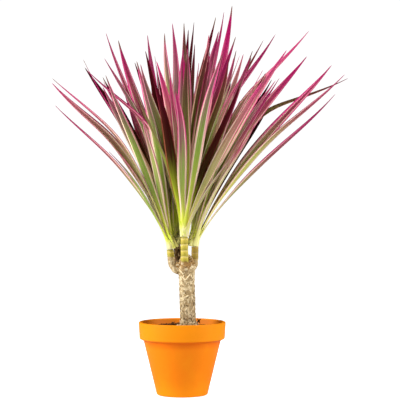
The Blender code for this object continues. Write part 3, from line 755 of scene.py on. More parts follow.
@shader_group("Leaf blade", BLADE_COLOURS, ("Margin", "Streaks", "Rise"), ("Height", "Roughness"))
def blade_group(
    blade, sheath, foot, middle, upper, line, low_margin, high_margin, tip, edge, margin_share, streaks, rise
):
    """Stripes and the turn of colour along a leaf.

    Blade holds the place across, the place along and the leaf's number.
    """
    across, along, number = blade.axes()
    side = abs(across)

    def of_leaf(factor, low, high):
        """A value of the leaf's own, between two others."""
        return (number * factor).maths("FRACT") * (high - low) + low

    def streak_noise(wide, long, detail):
        place = number.add("CombineXYZ", {0: across * wide, 1: along * long, 2: number * 61.0})
        return place.noise(1.0, detail, 0.6)

    wander = streak_noise(4.0, 3.0, 2.0) * 0.44 - 0.22
    turned = along - rise + of_leaf(7.3, -0.10, 0.10) + wander
    late = along + wander * 0.4
    mixed = late.step(of_leaf(17.7, 0.0, 0.14), of_leaf(13.1, 0.26, 0.60)).blend(foot, middle)
    mixed = (along.step(0.05, -0.015) * of_leaf(19.3, 0.35, 1.0)).blend(mixed, sheath)
    mixed = turned.step(0.42, 0.74).blend(mixed, upper)
    mixed = turned.step(0.72, 0.98).blend(mixed, tip)
    margin = turned.step(0.34, 0.74).blend(low_margin, high_margin)
    margin = turned.step(0.78, 1.02).blend(margin, tip)
    line = turned.step(0.60, 1.0).blend(line, margin)
    lopsided = across * of_leaf(3.7, -1.0, 1.0).maths("SIGN") * of_leaf(5.9, 0.0, 0.20)
    reach = side + (streak_noise(7.0, 3.0, 1.0) * 0.14 - 0.07) + lopsided
    beyond = reach - (1.0 - margin_share * of_leaf(9.1, 0.65, 1.2))
    starts = late.step(0.03, 0.16)
    stripes = streak_noise(15.0, 1.4, 2.0)
    mixed = (stripes.step(0.53, 0.63) * streaks * 0.75 * starts).blend(mixed, line)
    mixed = (streak_noise(9.0, 1.1, 1.0).step(0.52, 0.66) * 0.30).blend(mixed, edge)
    mixed = (beyond.step(-0.03, 0.03) * starts).blend(mixed, beyond.step(0.09, 0.21).blend(line, margin))
    outline = side.step(0.90, 0.99) * (starts * 0.75)
    mixed = outline.blend(mixed, turned.step(0.40, 0.74).blend(low_margin, edge))
    veins = streak_noise(48.0, 1.0, 1.0)
    # Each leaf's own shade; for chosen leaves it is painted light or shade. The shade is lighter at the foot and
    # darker down the middle.
    shade = along.step(0.24, 0.04) * 0.22 + (veins * 0.44 + of_leaf(SHADE_FACTOR, 0.44, 0.98))
    mixed = mixed.shaded(shade - side.step(0.08, 0.0) * 0.12)
    dried = of_leaf(23.9, 0.0, 1.0).maths("GREATER_THAN", 0.66) * along.step(0.93, 0.975)
    mixed = (dried * 0.85).blend(mixed, DRY_TIP)
    return mixed, stripes * 0.4 + veins, veins * 0.22 + 0.30


def new_material(name):
    material = bpy.data.materials.new(name)
    material.use_nodes = True
    return material, material.node_tree


def place_on(tree):
    """The place on the object."""
    return add_node(tree, "TexCoord", output="Object")


def dress(material, colour, roughness, gloss, height, depth, strength):
    """Feeds a material's own shader: its colour, roughness, gloss and bump."""
    tree = material.node_tree
    bump = add_node(tree, "Bump", {"Height": height, "Distance": depth * MM, "Strength": strength})
    inputs = {"Base Color": colour, "Roughness": roughness, "Specular IOR Level": gloss, "Normal": bump}
    feed(tree.nodes["Principled BSDF"], inputs)
    return material


def paint_material(settings, inside=False):
    """Satin orange paint outside, and the thinner, duller coat inside."""
    material, tree = new_material("clay_inside" if inside else "orange_paint")
    place = place_on(tree)
    base, pale, amount = settings.inside, settings.paint, settings.mottling
    if not inside:
        pale, amount = settings.pale_and_painted_light_paint, 0.7 * settings.mottling
        height = place.axes()[2]
        # Painted light: paler paint on the band and at the foot.
        light = (height.step(*BAND_LIGHT) * 0.75).maths("MAXIMUM", height.step(*FOOT_LIGHT))
        # Painted shade: darker, redder paint in the corner under the band.
        corner = height.step(*UNDER_BAND_SHADE_FOOT) * height.step(*UNDER_BAND_SHADE_TOP) * 0.65
        base = corner.blend(light.blend(settings.paint, pale), settings.corner)
    colour, height, rough = mottle_group(tree, place, base, pale, settings.inside, 26.0, amount)
    turning = place.mapped((1.0, 1.0, 5.0)).noise(60.0)
    return dress(material, colour, rough, 0.10, turning * 0.7 + height, 0.35, settings.turning)


def soil_material(settings, name, base, pale):
    material, tree = new_material(name)
    colour, height, _ = mottle_group(tree, place_on(tree), base, pale, settings.dark, 160.0, 0.8)
    return dress(material, colour, 0.9, 0.08, height, 0.6, 0.7)


def place_bark(tree, settings, place, old):
    """The bark group in its usual colours, or in those of dead bark."""
    tones = (settings.pale, settings.mid, settings.dark, settings.low, settings.callus)
    if old:
        tones = (settings.mid, settings.old, settings.dark, settings.old, settings.old)
    return bark_group(tree, place, *tones, settings.ring_gap, 0.25)


def bark_material(settings, name, old=False):
    material, tree = new_material(name)
    colour, height = place_bark(tree, settings, place_on(tree), old)
    return dress(material, colour, 0.86, 0.25, height, 0.6, 0.8)


def shoot_material(settings, name, skin, olive, scar, skin_from, ring_start, old=False):
    """Bark low on the shoot that turns into ringed skin at a height."""
    material, tree = new_material(name)
    place = place_on(tree)
    bark, rough = place_bark(tree, settings, place, old)
    gap, start = settings.ring_gap, ring_start * MM
    ringed, smooth = ring_group(tree, place, skin, olive, scar, settings.dark, gap, start)
    wavy = place.noise(130.0) * 0.006 + (place.axes()[2] - 0.003)
    skinned = wavy.step((skin_from - 1.5) * MM, (skin_from + 1.5) * MM)
    height = (smooth - rough) * skinned + rough
    return dress(material, skinned.blend(bark, ringed), skinned * -0.30 + 0.86, 0.3, height, 0.5, 0.7)


def leaf_material(settings, kind):
    """Striped leaf of one kind, with a slight gloss. Its pattern follows the leaf's own attribute."""
    material, tree = new_material("leaf_" + kind)
    blade = add_node(tree, "Attribute", output="Vector", attribute_name="blade")
    fields = (*LEAF_COLOURS, "margin", "streaks", "rise")
    colour, height, rough = blade_group(tree, blade, *(getattr(settings, field) for field in fields))
    return dress(material, colour, rough, settings.gloss, height, 0.12, 0.6)


def rounded(points, radius):
    """The middle one of three profile points as an arc that touches both sides."""
    before, corner, after = (Vector(point) for point in points)
    into = (before - corner).normalized()
    out = (after - corner).normalized()
    half = into.angle(out) / 2
    reach = radius / math.tan(half)
    centre = corner + (into + out).normalized() * (radius / math.sin(half))
    start = corner + into * reach - centre
    end = corner + out * reach - centre
    turn = start.angle(end)
    arc = []
    for k in range(ARC_STEPS + 1):
        part = k / ARC_STEPS
        place = start * math.sin((1 - part) * turn) + end * math.sin(part * turn)
        arc.append(centre + place / math.sin(turn))
    return arc


def lathe(name, profile, sides):
    """A disc on the first ring, extruded ring by ring through radii and heights in millimetres."""
    deselect()
    radius, height = profile[0]
    bpy.ops.mesh.primitive_circle_add(
        vertices=sides, radius=radius * MM, fill_type="NGON", location=(0.0, 0.0, height * MM)
    )
    item = bpy.context.object
    item.name = name
    settle(item)
    bpy.ops.object.mode_set(mode="EDIT")
    bpy.ops.mesh.select_mode(type="FACE")
    bpy.ops.mesh.select_all(action="SELECT")
    for wider, higher in profile[1:]:
        bpy.ops.mesh.extrude_region_move(TRANSFORM_OT_translate={"value": (0.0, 0.0, (higher - height) * MM)})
        grow = wider / radius
        bpy.ops.transform.resize(value=(grow, grow, 1.0), center_override=(0.0, 0.0, higher * MM))
        radius, height = wider, higher
    face_outwards()
    return item


def pot_profile():
    """The pot's section, from the middle of its underside round to the middle of its floor."""
    corners = [(0.0, 0.0), *(corner[:2] for corner in POT_SECTION), (0.0, POT_SECTION[-1][1])]
    profile = []
    for k, (*corner, radius) in enumerate(POT_SECTION):
        profile += rounded(corners[k:k + 3], radius) if radius else [corner]
    return profile


class PLANT_OT_pot(bpy.types.Operator):
    """Turn the clay pot, cut its drain holes and paint it"""

    bl_idname = "plant.pot"
    bl_label = "Pot"

    def execute(self, context):
        settings = context.scene.plant_pot
        pot = lathe("clay_pot", pot_profile(), POT_SIDES)
        for k in range(DRAIN_COUNT):
            angle = ROUND * k / DRAIN_COUNT + DRAIN_TURN
            deselect()
            bpy.ops.mesh.primitive_cylinder_add(
                vertices=DRAIN_SIDES, radius=DRAIN_RADIUS * MM, depth=DRAIN_DEPTH * MM,
                location=(math.cos(angle) * DRAIN_CIRCLE * MM, math.sin(angle) * DRAIN_CIRCLE * MM, 0.0),
            )
            cutter = bpy.context.object
            modify(pot, "BOOLEAN", operation="DIFFERENCE", solver="EXACT", object=cutter)
            bpy.data.objects.remove(cutter, do_unlink=True)
        activate(pot)
        bpy.ops.object.shade_smooth_by_angle(angle=POT_SMOOTH)
        finish_piece(pot, "pot", [paint_material(settings), paint_material(settings, inside=True)])
        low, high = INSIDE_HEIGHTS
        for face in pot.data.polygons:
            within = math.hypot(face.center.x, face.center.y) < MOUTH_RADIUS * MM
            inward = face.normal.x * face.center.x + face.normal.y * face.center.y <= 0
            face.material_index = int(within and inward and low * MM < face.center.z < high * MM)
        return {"FINISHED"}


def soil_height(x, y, relief):
    """Height of the mix above its floor line: a mound round the cane, and lumps."""
    radius = math.hypot(x, y)
    part = min(max((radius - SOIL_FLAT) / (SOIL_EDGE_RADIUS - SOIL_FLAT), 0.0), 1.0)
    lift = (1 + math.cos(math.pi * part)) / 2
    lumps = noise.fractal(Vector((x, y, 3.0)) / SOIL_LUMPS, *SOIL_FRACTAL) * relief / MM
    return SOIL_EDGE + (SOIL_TOP - SOIL_EDGE) * lift + lumps


def any_turn(draw):
    axis = Vector((draw.gauss(0, 1), draw.gauss(0, 1), draw.gauss(0, 1))).normalized()
    return Matrix.Rotation(draw.uniform(0, ROUND), 3, axis)


def radii_of(draw, ranges, scale=1.0):
    return [scale * draw.uniform(low, high) for low, high in ranges]


def lump(x, y, relief, radii, lift, turn, seed):
    """A lump that lies on the mix: its place, its radii, its turn and the seed of its roughness."""
    return (x, y, soil_height(x, y, relief) + lift), radii, turn, seed


def scattered(count, seed, edge):
    """Places on the mix, even over its area, but not at its edge or inside the cane."""
    draw = random.Random(seed)
    while count:
        radius = (SOIL_EDGE_RADIUS - edge) * math.sqrt(draw.random())
        angle = draw.uniform(0, ROUND)
        x, y = radius * math.cos(angle), radius * math.sin(angle)
        if math.hypot(x - TRUNK_FOOT_X, y) > TRUNK_RINGS[0][1] - 1.0:
            count -= 1
            yield x, y, draw


def crumbs(settings):
    for k, (x, y, draw) in enumerate(scattered(CRUMB_COUNT, SEEDS["crumbs"], CRUMB_EDGE)):
        radii = radii_of(draw, CRUMB_SIZES, settings.crumb / MM)
        yield lump(x, y, settings.relief, radii, radii[2] * CRUMB_LIFT, any_turn(draw), k)


def chips(settings):
    """Flat chips all over the mix, and a small heap of them at the back."""
    for k, (x, y, draw) in enumerate(scattered(CHIP_COUNT, SEEDS["chips"], CHIP_EDGE)):
        radii = radii_of(draw, CHIP_SIZES)
        tilt = Matrix.Rotation(draw.uniform(-CHIP_TILT, CHIP_TILT), 3, "X")
        tilt @= Matrix.Rotation(draw.uniform(0, 6.28), 3, "Z")
        yield lump(x, y, settings.relief, radii, CHIP_LIFT, tilt, k)
    for k in range(HEAP_COUNT):
        draw = random.Random(SEEDS["heap"] + k)
        x, y = draw.triangular(*HEAP_ACROSS), draw.triangular(*HEAP_DEEP)
        if math.hypot(x, y) <= SOIL_EDGE_RADIUS - HEAP_EDGE:
            radii = radii_of(draw, HEAP_SIZES)
            heap = 1.0
            for value, middle, reach in zip((x, y), HEAP_MIDDLE, HEAP_REACH):
                heap *= max(0.0, 1 - ((value - middle) / reach) ** 2)
            lift = HEAP_LIFT + HEAP_HIGH * heap * draw.random()
            yield lump(x, y, settings.relief, radii, lift, any_turn(draw), 900 + k)


def grit(settings):
    """Pale grit banked against the cane, and larger stones in front of it."""
    draw = random.Random(SEEDS["grit"])
    for k in range(GRIT_COUNT):
        angle = draw.uniform(0, ROUND)
        beyond = abs(draw.gauss(0, GRIT_SPREAD))
        away = TRUNK_RINGS[0][1] + beyond - 1.0
        x, y = TRUNK_FOOT_X + away * math.cos(angle), away * math.sin(angle)
        radii = radii_of(draw, GRIT_SIZES)
        bank = BANK_FRONT if y < BANK_FRONT_TO else BANK_BACK
        bank = max(0.0, bank - BANK_SLOPE * beyond) * draw.random()
        yield lump(x, y, settings.relief, radii, bank, any_turn(draw), k)
    for k in range(STONE_COUNT):
        draw = random.Random(SEEDS["stones"] + k)
        x, y = draw.uniform(*STONE_ACROSS), draw.uniform(*STONE_DEEP)
        if math.hypot(x - TRUNK_FOOT_X, y) >= TRUNK_RINGS[0][1] - 1.5:
            radii = radii_of(draw, STONE_SIZES)
            yield lump(x, y, settings.relief, radii, draw.uniform(*STONE_LIFT), any_turn(draw), 700 + k)


def lumps_mesh(name, lumps):
    """Many small lumps as one mesh."""
    bpy.ops.mesh.primitive_ico_sphere_add(subdivisions=1, radius=1.0)
    model = bpy.context.object
    shape = np.array([point.co for point in model.data.vertices])
    corners = np.array([face.vertices for face in model.data.polygons])
    bpy.data.objects.remove(model, do_unlink=True)
    points, faces = [], []
    for k, (place, radii, turn, seed) in enumerate(lumps):
        rough = shape * np.random.default_rng(seed).uniform(*LUMP_UNEVEN, (len(shape), 1)) * np.array(radii)
        points.append((rough @ np.array(turn).T + np.array(place)) * MM)
        faces.append(corners + k * len(shape))
    return mesh_object(name, np.concatenate(points).tolist(), np.concatenate(faces).tolist())


class PLANT_OT_soil(bpy.types.Operator):
    """Fill the pot with potting mix and scatter crumbs, chips and grit over it"""

    bl_idname = "plant.soil"
    bl_label = "Soil"

    def execute(self, context):
        settings = context.scene.plant_soil
        top = [(SOIL_EDGE_RADIUS * (1 - k / SOIL_RINGS), SOIL_EDGE) for k in range(SOIL_RINGS)]
        mix = lathe("soil_mix", [*SOIL_SECTION, *top], POT_SIDES)
        for point in mix.data.vertices:
            if point.co.z > (SOIL_EDGE - 1.0) * MM:
                point.co.z = soil_height(point.co.x / MM, point.co.y / MM, settings.relief) * MM
        mix.data.shade_smooth()
        finish_piece(mix, "soil", [soil_material(settings, "mix", settings.dark, settings.brown)])
        for name, lumps, base, pale in (
            ("soil_crumbs", crumbs, settings.dark, settings.brown),
            ("bark_chips", chips, settings.brown, settings.dark),
            ("pale_grit", grit, settings.pale, settings.brown),
        ):
            item = lumps_mesh(name, lumps(settings))
            finish_piece(item, "soil", [soil_material(settings, name, base, pale)], replaced=False)
        twigs = []
        for turns in SCRAP_TURNS:
            deselect()
            bpy.ops.mesh.primitive_cylinder_add(
                vertices=7, radius=SCRAP_RADIUS * MM, depth=SCRAP_LENGTH * MM, rotation=turns,
                location=[value * MM for value in SCRAP_PLACE],
            )
            twigs.append(bpy.context.object)
        scrap = join(twigs, "crossed_scrap")
        settle(scrap)
        modify(scrap, "SUBSURF", levels=2, render_levels=2)
        roughen(scrap, *SCRAP_WEAR)
        material = soil_material(settings, "scrap", settings.dark, settings.dark)
        finish_piece(scrap, "soil", [material], replaced=False)
        return {"FINISHED"}


def curve_through(stations, steps):
    """Points on a smooth curve through the stations, whose fourth number is the radius."""
    values = [Vector(station) for station in stations]
    ends = [values[0] * 2 - values[1]] + values + [values[-1] * 2 - values[-2]]
    spans = len(values) - 1
    path = []
    for step in range(steps + 1):
        span = min(spans * step // steps, spans - 1)
        t = spans * step / steps - span
        a, b, c, d = ends[span:span + 4]
        bend = (a * 2 - b * 5 + c * 4 - d) * t ** 2 + (b * 3 - a - c * 3 + d) * t ** 3
        path.append((b * 2 + (c - a) * t + bend) / 2)
    return path


def tube(name, stations, steps):
    """A capped tube along a smooth curve through stations of x, y, z and radius in millimetres."""
    data = bpy.data.curves.new(name, "CURVE")
    data.dimensions = "3D"
    data.bevel_depth = 1.0
    data.bevel_resolution = 8
    data.use_fill_caps = True
    spline = data.splines.new("POLY")
    spline.points.add(steps)
    for point, (x, y, z, radius) in zip(spline.points, curve_through(stations, steps)):
        point.co = (x * MM, y * MM, z * MM, 1.0)
        point.radius = radius * MM
    activate(link(name, data))
    bpy.ops.object.convert(target="MESH")
    return bpy.context.object


def ball(place, radius, fineness, tall=1.0):
    deselect()
    bpy.ops.mesh.primitive_ico_sphere_add(
        subdivisions=fineness, radius=radius * MM, location=place, scale=(1.0, 1.0, tall)
    )
    return bpy.context.object


def barked(item, settings, rings, skin_from):
    """Gives a limb an even skin of faces and presses bark, scars and lumps into it."""
    modify(item, "REMESH", mode="VOXEL", voxel_size=BARK_VOXEL)
    modify(item, "SMOOTH", iterations=3, factor=0.6)
    mesh = item.data
    normals = [point.normal.copy() for point in mesh.vertices]
    for point, normal in zip(mesh.vertices, normals):
        place = point.co / MM
        lumps = noise.fractal(place / BARK_LUMPS, 0.9, 2.1, 4)
        blotch = noise.cell(Vector([value / size for value, size in zip(place, BARK_BLOTCH)])) - 0.5
        sway = noise.noise(Vector([value / size for value, size in zip(place, RING_WAVE)]))
        around = abs(((place.z + RING_SWAY * sway) / (settings.ring_gap / MM)) % 1.0 - 0.5)
        scar = max(0.0, (around - RING_FROM) / (0.5 - RING_FROM)) ** 2
        rough = 1.0 if place.z < skin_from else SKIN_CALMER
        depth = rough * (0.8 * lumps + 0.25 * blotch) - rings * 0.6 * scar
        point.co += normal * depth * settings.relief
    mesh.shade_smooth()
    return item


def flake_faces():
    """Faces of a flake: the squares of its two layers, and its rim."""
    faces = []
    for k in (0, 1, 3, 4, 6, 7):
        faces += [(k, k + 3, k + 4, k + 1), (k + 12, k + 13, k + 16, k + 15)]
    rim = zip(FLAKE_RIM, FLAKE_RIM[1:] + FLAKE_RIM[:1])
    return np.array(faces + [(after, k, k + 12, after + 12) for k, after in rim])


def flakes_piece(name, slot, flakes, material):
    """Curled scraps of bark as one mesh.

    Each has a middle, its outward and lengthwise ways, a size, a curl and the seed of its unevenness.
    """
    grid = np.meshgrid((1, -1), np.linspace(-1, 1, 4), np.linspace(-1, 1, 3), indexing="ij")
    layer, along, across = (part.reshape(-1, 1) for part in grid)
    corners = flake_faces()
    varies = np.array(FLAKE_VARIES)
    points, faces = [], []
    for k, (middle, outward, way, (long, wide, thick, radius), curl, seed) in enumerate(flakes):
        uneven = np.random.default_rng(seed).uniform(-varies, varies, (len(layer), 2))
        half = wide * (1 - 0.45 * along * along) * (1 + uneven[:, :1])
        lift = curl * (0.5 + 0.5 * along) ** 2 - (half * across) ** 2 / (2 * radius) + thick * layer * 0.5
        lengthwise = way * long * along * (1 + uneven[:, 1:])
        points.append(middle + lengthwise + np.cross(way, outward) * half * across + outward * lift)
        faces.append(corners + len(layer) * k)
    item = mesh_object(name, (np.concatenate(points) * MM).tolist(), np.concatenate(faces).tolist())
    activate(item)
    face_outwards()
    bpy.ops.object.shade_smooth_by_angle(angle=FLAKE_SMOOTH)
    return finish_piece(item, slot, [material], replaced=False)


def slanted(angle, slant):
    """The way up a round wall, turned aside by a slant."""
    return np.array((-math.sin(angle) * math.sin(slant), math.cos(angle) * math.sin(slant), math.cos(slant)))


def cane_flakes(count, seed, lengths, widths, highest):
    """Scraps that lie on the cane, lengthwise or aslant."""
    draw = random.Random(seed)
    for _ in range(count):
        angle = draw.uniform(0, ROUND)
        high = draw.uniform(FLAKE_LOWEST, highest)
        outward = np.array((math.cos(angle), math.sin(angle), 0.0))
        middle = np.array((TRUNK_FOOT_X + TRUNK_LEAN * high, 0.0, TRUNK_FOOT + high))
        middle += outward * np.interp(high, *zip(*TRUNK_RINGS))
        way = slanted(angle, draw.gauss(0.0, FLAKE_SLANT))
        size = (draw.uniform(*lengths), draw.uniform(*widths), 0.35, 12.0)
        middle += outward * draw.uniform(-0.1, 0.25)
        yield middle, outward, way, size, draw.uniform(*FLAKE_CURLS), draw.randrange(10 ** 6)


def callus_folds():
    """Thick curled folds round the knobs."""
    draw = random.Random(SEEDS["folds"])
    for _ in range(CALLUS_FOLDS):
        x, y, z, radius, tall = draw.choice(KNOBS[:6])
        angle, up = draw.uniform(-math.pi, 0.0), draw.uniform(-0.6, 0.9)
        outward = np.array((math.cos(angle) * math.cos(up), math.sin(angle) * math.cos(up), math.sin(up)))
        middle = np.array((x, y, z)) + outward * radius * (FOLD_DEPTH, FOLD_DEPTH, FOLD_DEPTH * tall)
        way = unit_rows(np.cross(outward, [[draw.gauss(0, 1), draw.gauss(0, 1), draw.gauss(0, 1)]]))[0]
        size = (*radii_of(draw, FOLD_SIZES), 0.4, 4.0)
        yield middle, outward, way, size, draw.uniform(*FOLD_CURLS), draw.randrange(10 ** 6)


def dry_husks(count):
    """Dry husks that stand and hang round the back shoot, between the left and the centre one."""
    draw = random.Random(SEEDS["husks"])
    for _ in range(count):
        angle = draw.uniform(-math.pi, 0.35)
        high = draw.uniform(*HUSK_HEIGHTS)
        spread = draw.uniform(0.2, 3.4)
        x, y = HUSK_MIDDLE
        middle = np.array((x + HUSK_LEAN * (250 - high), y + draw.uniform(-4.0, 4.0), high))
        outward = np.array((math.cos(angle), math.sin(angle), draw.uniform(-0.2, 0.5)))
        outward /= np.linalg.norm(outward)
        way = slanted(angle, draw.gauss(0.0, 0.5))
        size = (*radii_of(draw, HUSK_SIZES), 0.3, 3.0)
        middle += outward * (3.5 + spread)
        yield middle, outward, way, size, draw.uniform(*HUSK_CURLS), draw.randrange(10 ** 6)


class PLANT_OT_cane(bpy.types.Operator):
    """Raise the cut cane with its callus knobs, bark and flakes"""

    bl_idname = "plant.cane"
    bl_label = "Cane"

    def execute(self, context):
        settings = context.scene.plant_bark
        stations = [
            (TRUNK_FOOT_X + TRUNK_LEAN * high, 0.0, TRUNK_FOOT + high, radius) for high, radius in TRUNK_RINGS
        ]
        parts = [tube("cane_core", stations, CANE_STEPS)]
        for x, y, z, radius, tall in KNOBS:
            parts.append(ball((x * MM, y * MM, z * MM), radius, 3, tall))
        draw = random.Random(SEEDS["callus"])
        for _ in range(CALLUS_LUMPS):
            x, y, z, radius, tall = draw.choice(KNOBS)
            turn, up = draw.uniform(-math.pi, 0.3), draw.uniform(-0.7, 1.0)
            way = Vector((math.cos(turn) * math.cos(up), math.sin(turn) * math.cos(up), math.sin(up) * tall))
            place = (Vector((x, y, z)) + way * radius * CALLUS_REACHES) * MM
            parts.append(ball(place, draw.uniform(*CALLUS_SIZES), 2))
        cane = barked(join(parts, "cane"), settings, 0.3, BARK_TO_TOP)
        finish_piece(cane, "trunk", [bark_material(settings, "cane_bark")])
        tones = {
            "pale": (settings.pale, settings.mid), "tan": (settings.mid, settings.dark),
            "dark": (settings.old, settings.low),
        }
        soil = context.scene.plant_soil
        bark = {name: soil_material(soil, "flake_" + name, *pair) for name, pair in tones.items()}
        scars = join([tube("scar", stations, SCAR_STEPS) for stations in CANE_SCARS], "pale_scars")
        roughen(scars, *SCAR_WEAR)
        finish_piece(scars, "trunk", [bark["pale"]], replaced=False)
        for name, (part, *rest) in FLAKES.items():
            flakes = cane_flakes(int(settings.flakes * part), *rest)
            flakes_piece(name + "_flakes", "trunk", flakes, bark[name])
        ruddy = soil_material(soil, "callus_curls", settings.callus, settings.pale)
        flakes_piece("callus_curls", "trunk", callus_folds(), ruddy)
        return {"FINISHED"}


class PLANT_OT_shoots(bpy.types.Operator):
    """Grow the bare shoots with their ringed skin, and the dry husks among them"""

    bl_idname = "plant.shoots"
    bl_label = "Shoots"

    def execute(self, context):
        settings = context.scene.plant_bark
        for name, (skin_from, ring_start) in SHOOT_SKINS.items():
            shoot = barked(tube("shoot_skin_" + name, SHOOTS[name], SHOOT_STEPS), settings, 1.0, skin_from)
            tones = (settings.green, settings.olive, settings.cream)
            if name == "right":
                tones = (settings.ochre, [0.8 * value for value in settings.ochre], settings.mid)
            material = shoot_material(
                settings, "shoot_bark_" + name, *tones, skin_from, ring_start, old=name == "back"
            )
            finish_piece(shoot, "shoot_" + name, [material])
        dry = bark_material(settings, "dry_husks", old=True)
        flakes_piece("dry_husks", "shoot_back", dry_husks(settings.husks), dry)
        return {"FINISHED"}


@dataclass
class Leaf:
    """A leaf's two ends and its form. Heading is the level direction in which it leaves its stem.

    Nod is the angle by which its upper half bends outward.
    """

    crown: str
    root: Vector
    tip: Vector
    heading: Vector
    width: float
    turn: float
    bow: float
    nod: float = 0.0
    twist: float = 0.0
    shade: float = -1.0
    kind: str = ""
    shown: bool = True
    tree: BVHTree = None


def ring_faces(sides, rings):
    faces = []
    for step in range(rings - 1):
        low = step * sides
        high = low + sides
        for k in range(sides):
            after = (k + 1) % sides
            faces.append((low + k, low + after, high + after, high + k))
    faces.append(tuple(range(sides)))
    faces.append(tuple(range((rings - 1) * sides, rings * sides)))
    return faces


def smooth_step(value):
    value = min(max(value, 0.0), 1.0)
    return value * value * (3 - 2 * value)


def shoot_tip(name):
    return Vector(SHOOTS[name][-1]).to_3d() * MM


def crown_foot(name):
    return shoot_tip(name) + UP * GAP


def crown_axis(name):
    sideways, depth = (math.tan(math.radians(lean * STEM_LEAN)) for lean in CROWN_HOME[name])
    return Vector((sideways, depth, 1.0)).normalized()


def stem_points(name, grow=0.0, sides=STEM_SIDES):
    points = []
    for part, size in STEM_FORM:
        centre = crown_foot(name) + crown_axis(name) * STEM_LENGTH * part
        if part == 0.0:
            centre -= UP * grow
        radius = SHOOTS[name][-1][3] * MM * size + grow
        for k in range(sides):
            angle = ROUND * k / sides
            points.append(centre + Vector((math.cos(angle), math.sin(angle), 0.0)) * radius)
    return points


def leaf_line(leaf):
    """Middle line of a leaf: steep at the root, bent outward along its length, its tip curled up a little."""
    chord = leaf.tip - leaf.root
    heading = Vector((chord.x, chord.y, 0.0))
    if heading.length < UPRIGHT * chord.length:
        heading = leaf.heading.copy()
    heading.normalize()
    side = UP.cross(heading)
    lean = math.atan2(chord.dot(heading), chord.z)
    sway = min(LEAF_SWAY, SWAY_UPRIGHT * LEAF_SWAY + SWAY_BY_LEAN * lean)
    line = [Vector((0.0, 0.0))]
    for step in range(LINE_STEPS):
        part = (step + 0.5) / LINE_STEPS
        bend = sum(amount * smooth_step((part - start) / (end - start)) for start, end, amount in LEAF_BENDS)
        curl = LEAF_CURL * max(0.0, (part - LEAF_CURL_FROM) / (1 - LEAF_CURL_FROM)) ** 2
        nod = leaf.nod * smooth_step((part - LEAF_NOD[0]) / (LEAF_NOD[1] - LEAF_NOD[0]))
        angle = lean + sway * (bend - curl) + nod
        line.append(line[-1] + Vector((math.sin(angle), math.cos(angle))))
    turn = math.atan2(line[-1].x, line[-1].y) - lean
    fit = Matrix.Rotation(turn, 2) * (chord.length / line[-1].length)
    points = []
    for k, bent in enumerate(line):
        out, rise = fit @ bent
        sideways = leaf.bow * math.sin(math.pi * k / LINE_STEPS)
        points.append(leaf.root + heading * out + UP * rise + side * sideways)
    return points, side


def leaf_width(part):
    """Width as a share of the greatest: a sheath, a narrower neck, the widest part, then a long tip."""
    if part < LEAF_NECK_AT:
        return LEAF_SHEATH + (LEAF_NECK - LEAF_SHEATH) * smooth_step(part / LEAF_NECK_AT)
    if part < LEAF_WIDEST:
        opened = smooth_step((part - LEAF_NECK_AT) / (LEAF_WIDEST - LEAF_NECK_AT))
        return LEAF_NECK + (1 - LEAF_NECK) * opened
    return 1 - ((part - LEAF_WIDEST) / (1 - LEAF_WIDEST)) ** LEAF_TAPER


def leaf_shape(leaf, grow=0.0):
    """The solid leaf of the frame, which only decides where leaves have room."""
    line, side = leaf_line(leaf)
    thickness = (leaf.tip - leaf.root).length * LEAF_THICKNESS_SHARE
    points = []
    for part in LEAF_STATIONS:
        k = int(part * LINE_STEPS)
        middle = line[k].lerp(line[k + 1], part * LINE_STEPS - k)
        along = (line[k + 1] - line[max(k - 1, 0)]).normalized()
        turn = leaf.turn * smooth_step(part / TURN_DONE)
        across = side * math.cos(turn) + side.cross(along).normalized() * math.sin(turn)
        face = across.cross(along).normalized()
        half = leaf.width * leaf_width(part) / 2 + grow
        deep = thickness / 2 + grow
        fold = face * LEAF_CHANNEL * half
        points += [middle - across * half - fold, middle - face * deep]
        points += [middle + across * half - fold, middle + face * deep]
    faces = ring_faces(SECTION, len(LEAF_STATIONS))[:-1]
    end = len(points)
    points.append(line[-1] + (line[-1] - line[-2]).normalized() * grow)
    for k in range(SECTION):
        faces.append((end - SECTION + k, end - SECTION + (k + 1) % SECTION, end))
    return points, faces


def leaf_at(name, tip, width, turn, bow, own_lean):
    """A leaf that runs to the tip from its node: outer leaves sit low on the stem, inner ones high."""
    outer = min(1.0, own_lean.length / CROWN_SPREAD)
    node = HIGH_NODE + (LOW_NODE - HIGH_NODE) * outer
    heading = own_lean.to_3d().normalized()
    root = crown_foot(name) + crown_axis(name) * STEM_LENGTH * node + heading * ROOT_OFFSET
    return Leaf(name, root, tip, heading, width, turn, bow)


def turn_to_show(heading, seen):
    """The smallest turn of a blade that shows this share of its width to the front."""
    bearing = math.atan2(heading.y, heading.x)
    bases = (math.asin(seen), math.pi - math.asin(seen))
    turns = [bearing + sign * base for base in bases for sign in (1, -1)]
    return min(((turn + math.pi) % ROUND - math.pi for turn in turns), key=abs)


def outline_leaf(name, entry, attempt):
    """One of the leaves that draw the outline. Later attempts change only its depth."""
    sideways, depth, reach, seen, nod, kind = entry
    depth += OUTLINE_STEP * ((attempt + 1) // 2) * (1 if attempt % 2 else -1)
    lean = math.radians(sideways)
    chord = Vector((math.sin(lean), math.tan(math.radians(depth)), math.cos(lean))) * reach * MM
    own = Vector((sideways, depth)) - Vector(CROWN_HOME[name]) * OUTLINE_HOME
    width = LEAF_WIDE * (OUTLINE_SLIM + (1 - OUTLINE_SLIM) * seen) * min(1.0, (1 + reach / SHORT_REACH) / 2)
    leaf = leaf_at(name, shoot_tip(name) + chord, width, turn_to_show(chord, seen), 0.0, own)
    leaf.nod = math.radians(nod)
    leaf.kind = kind
    return leaf


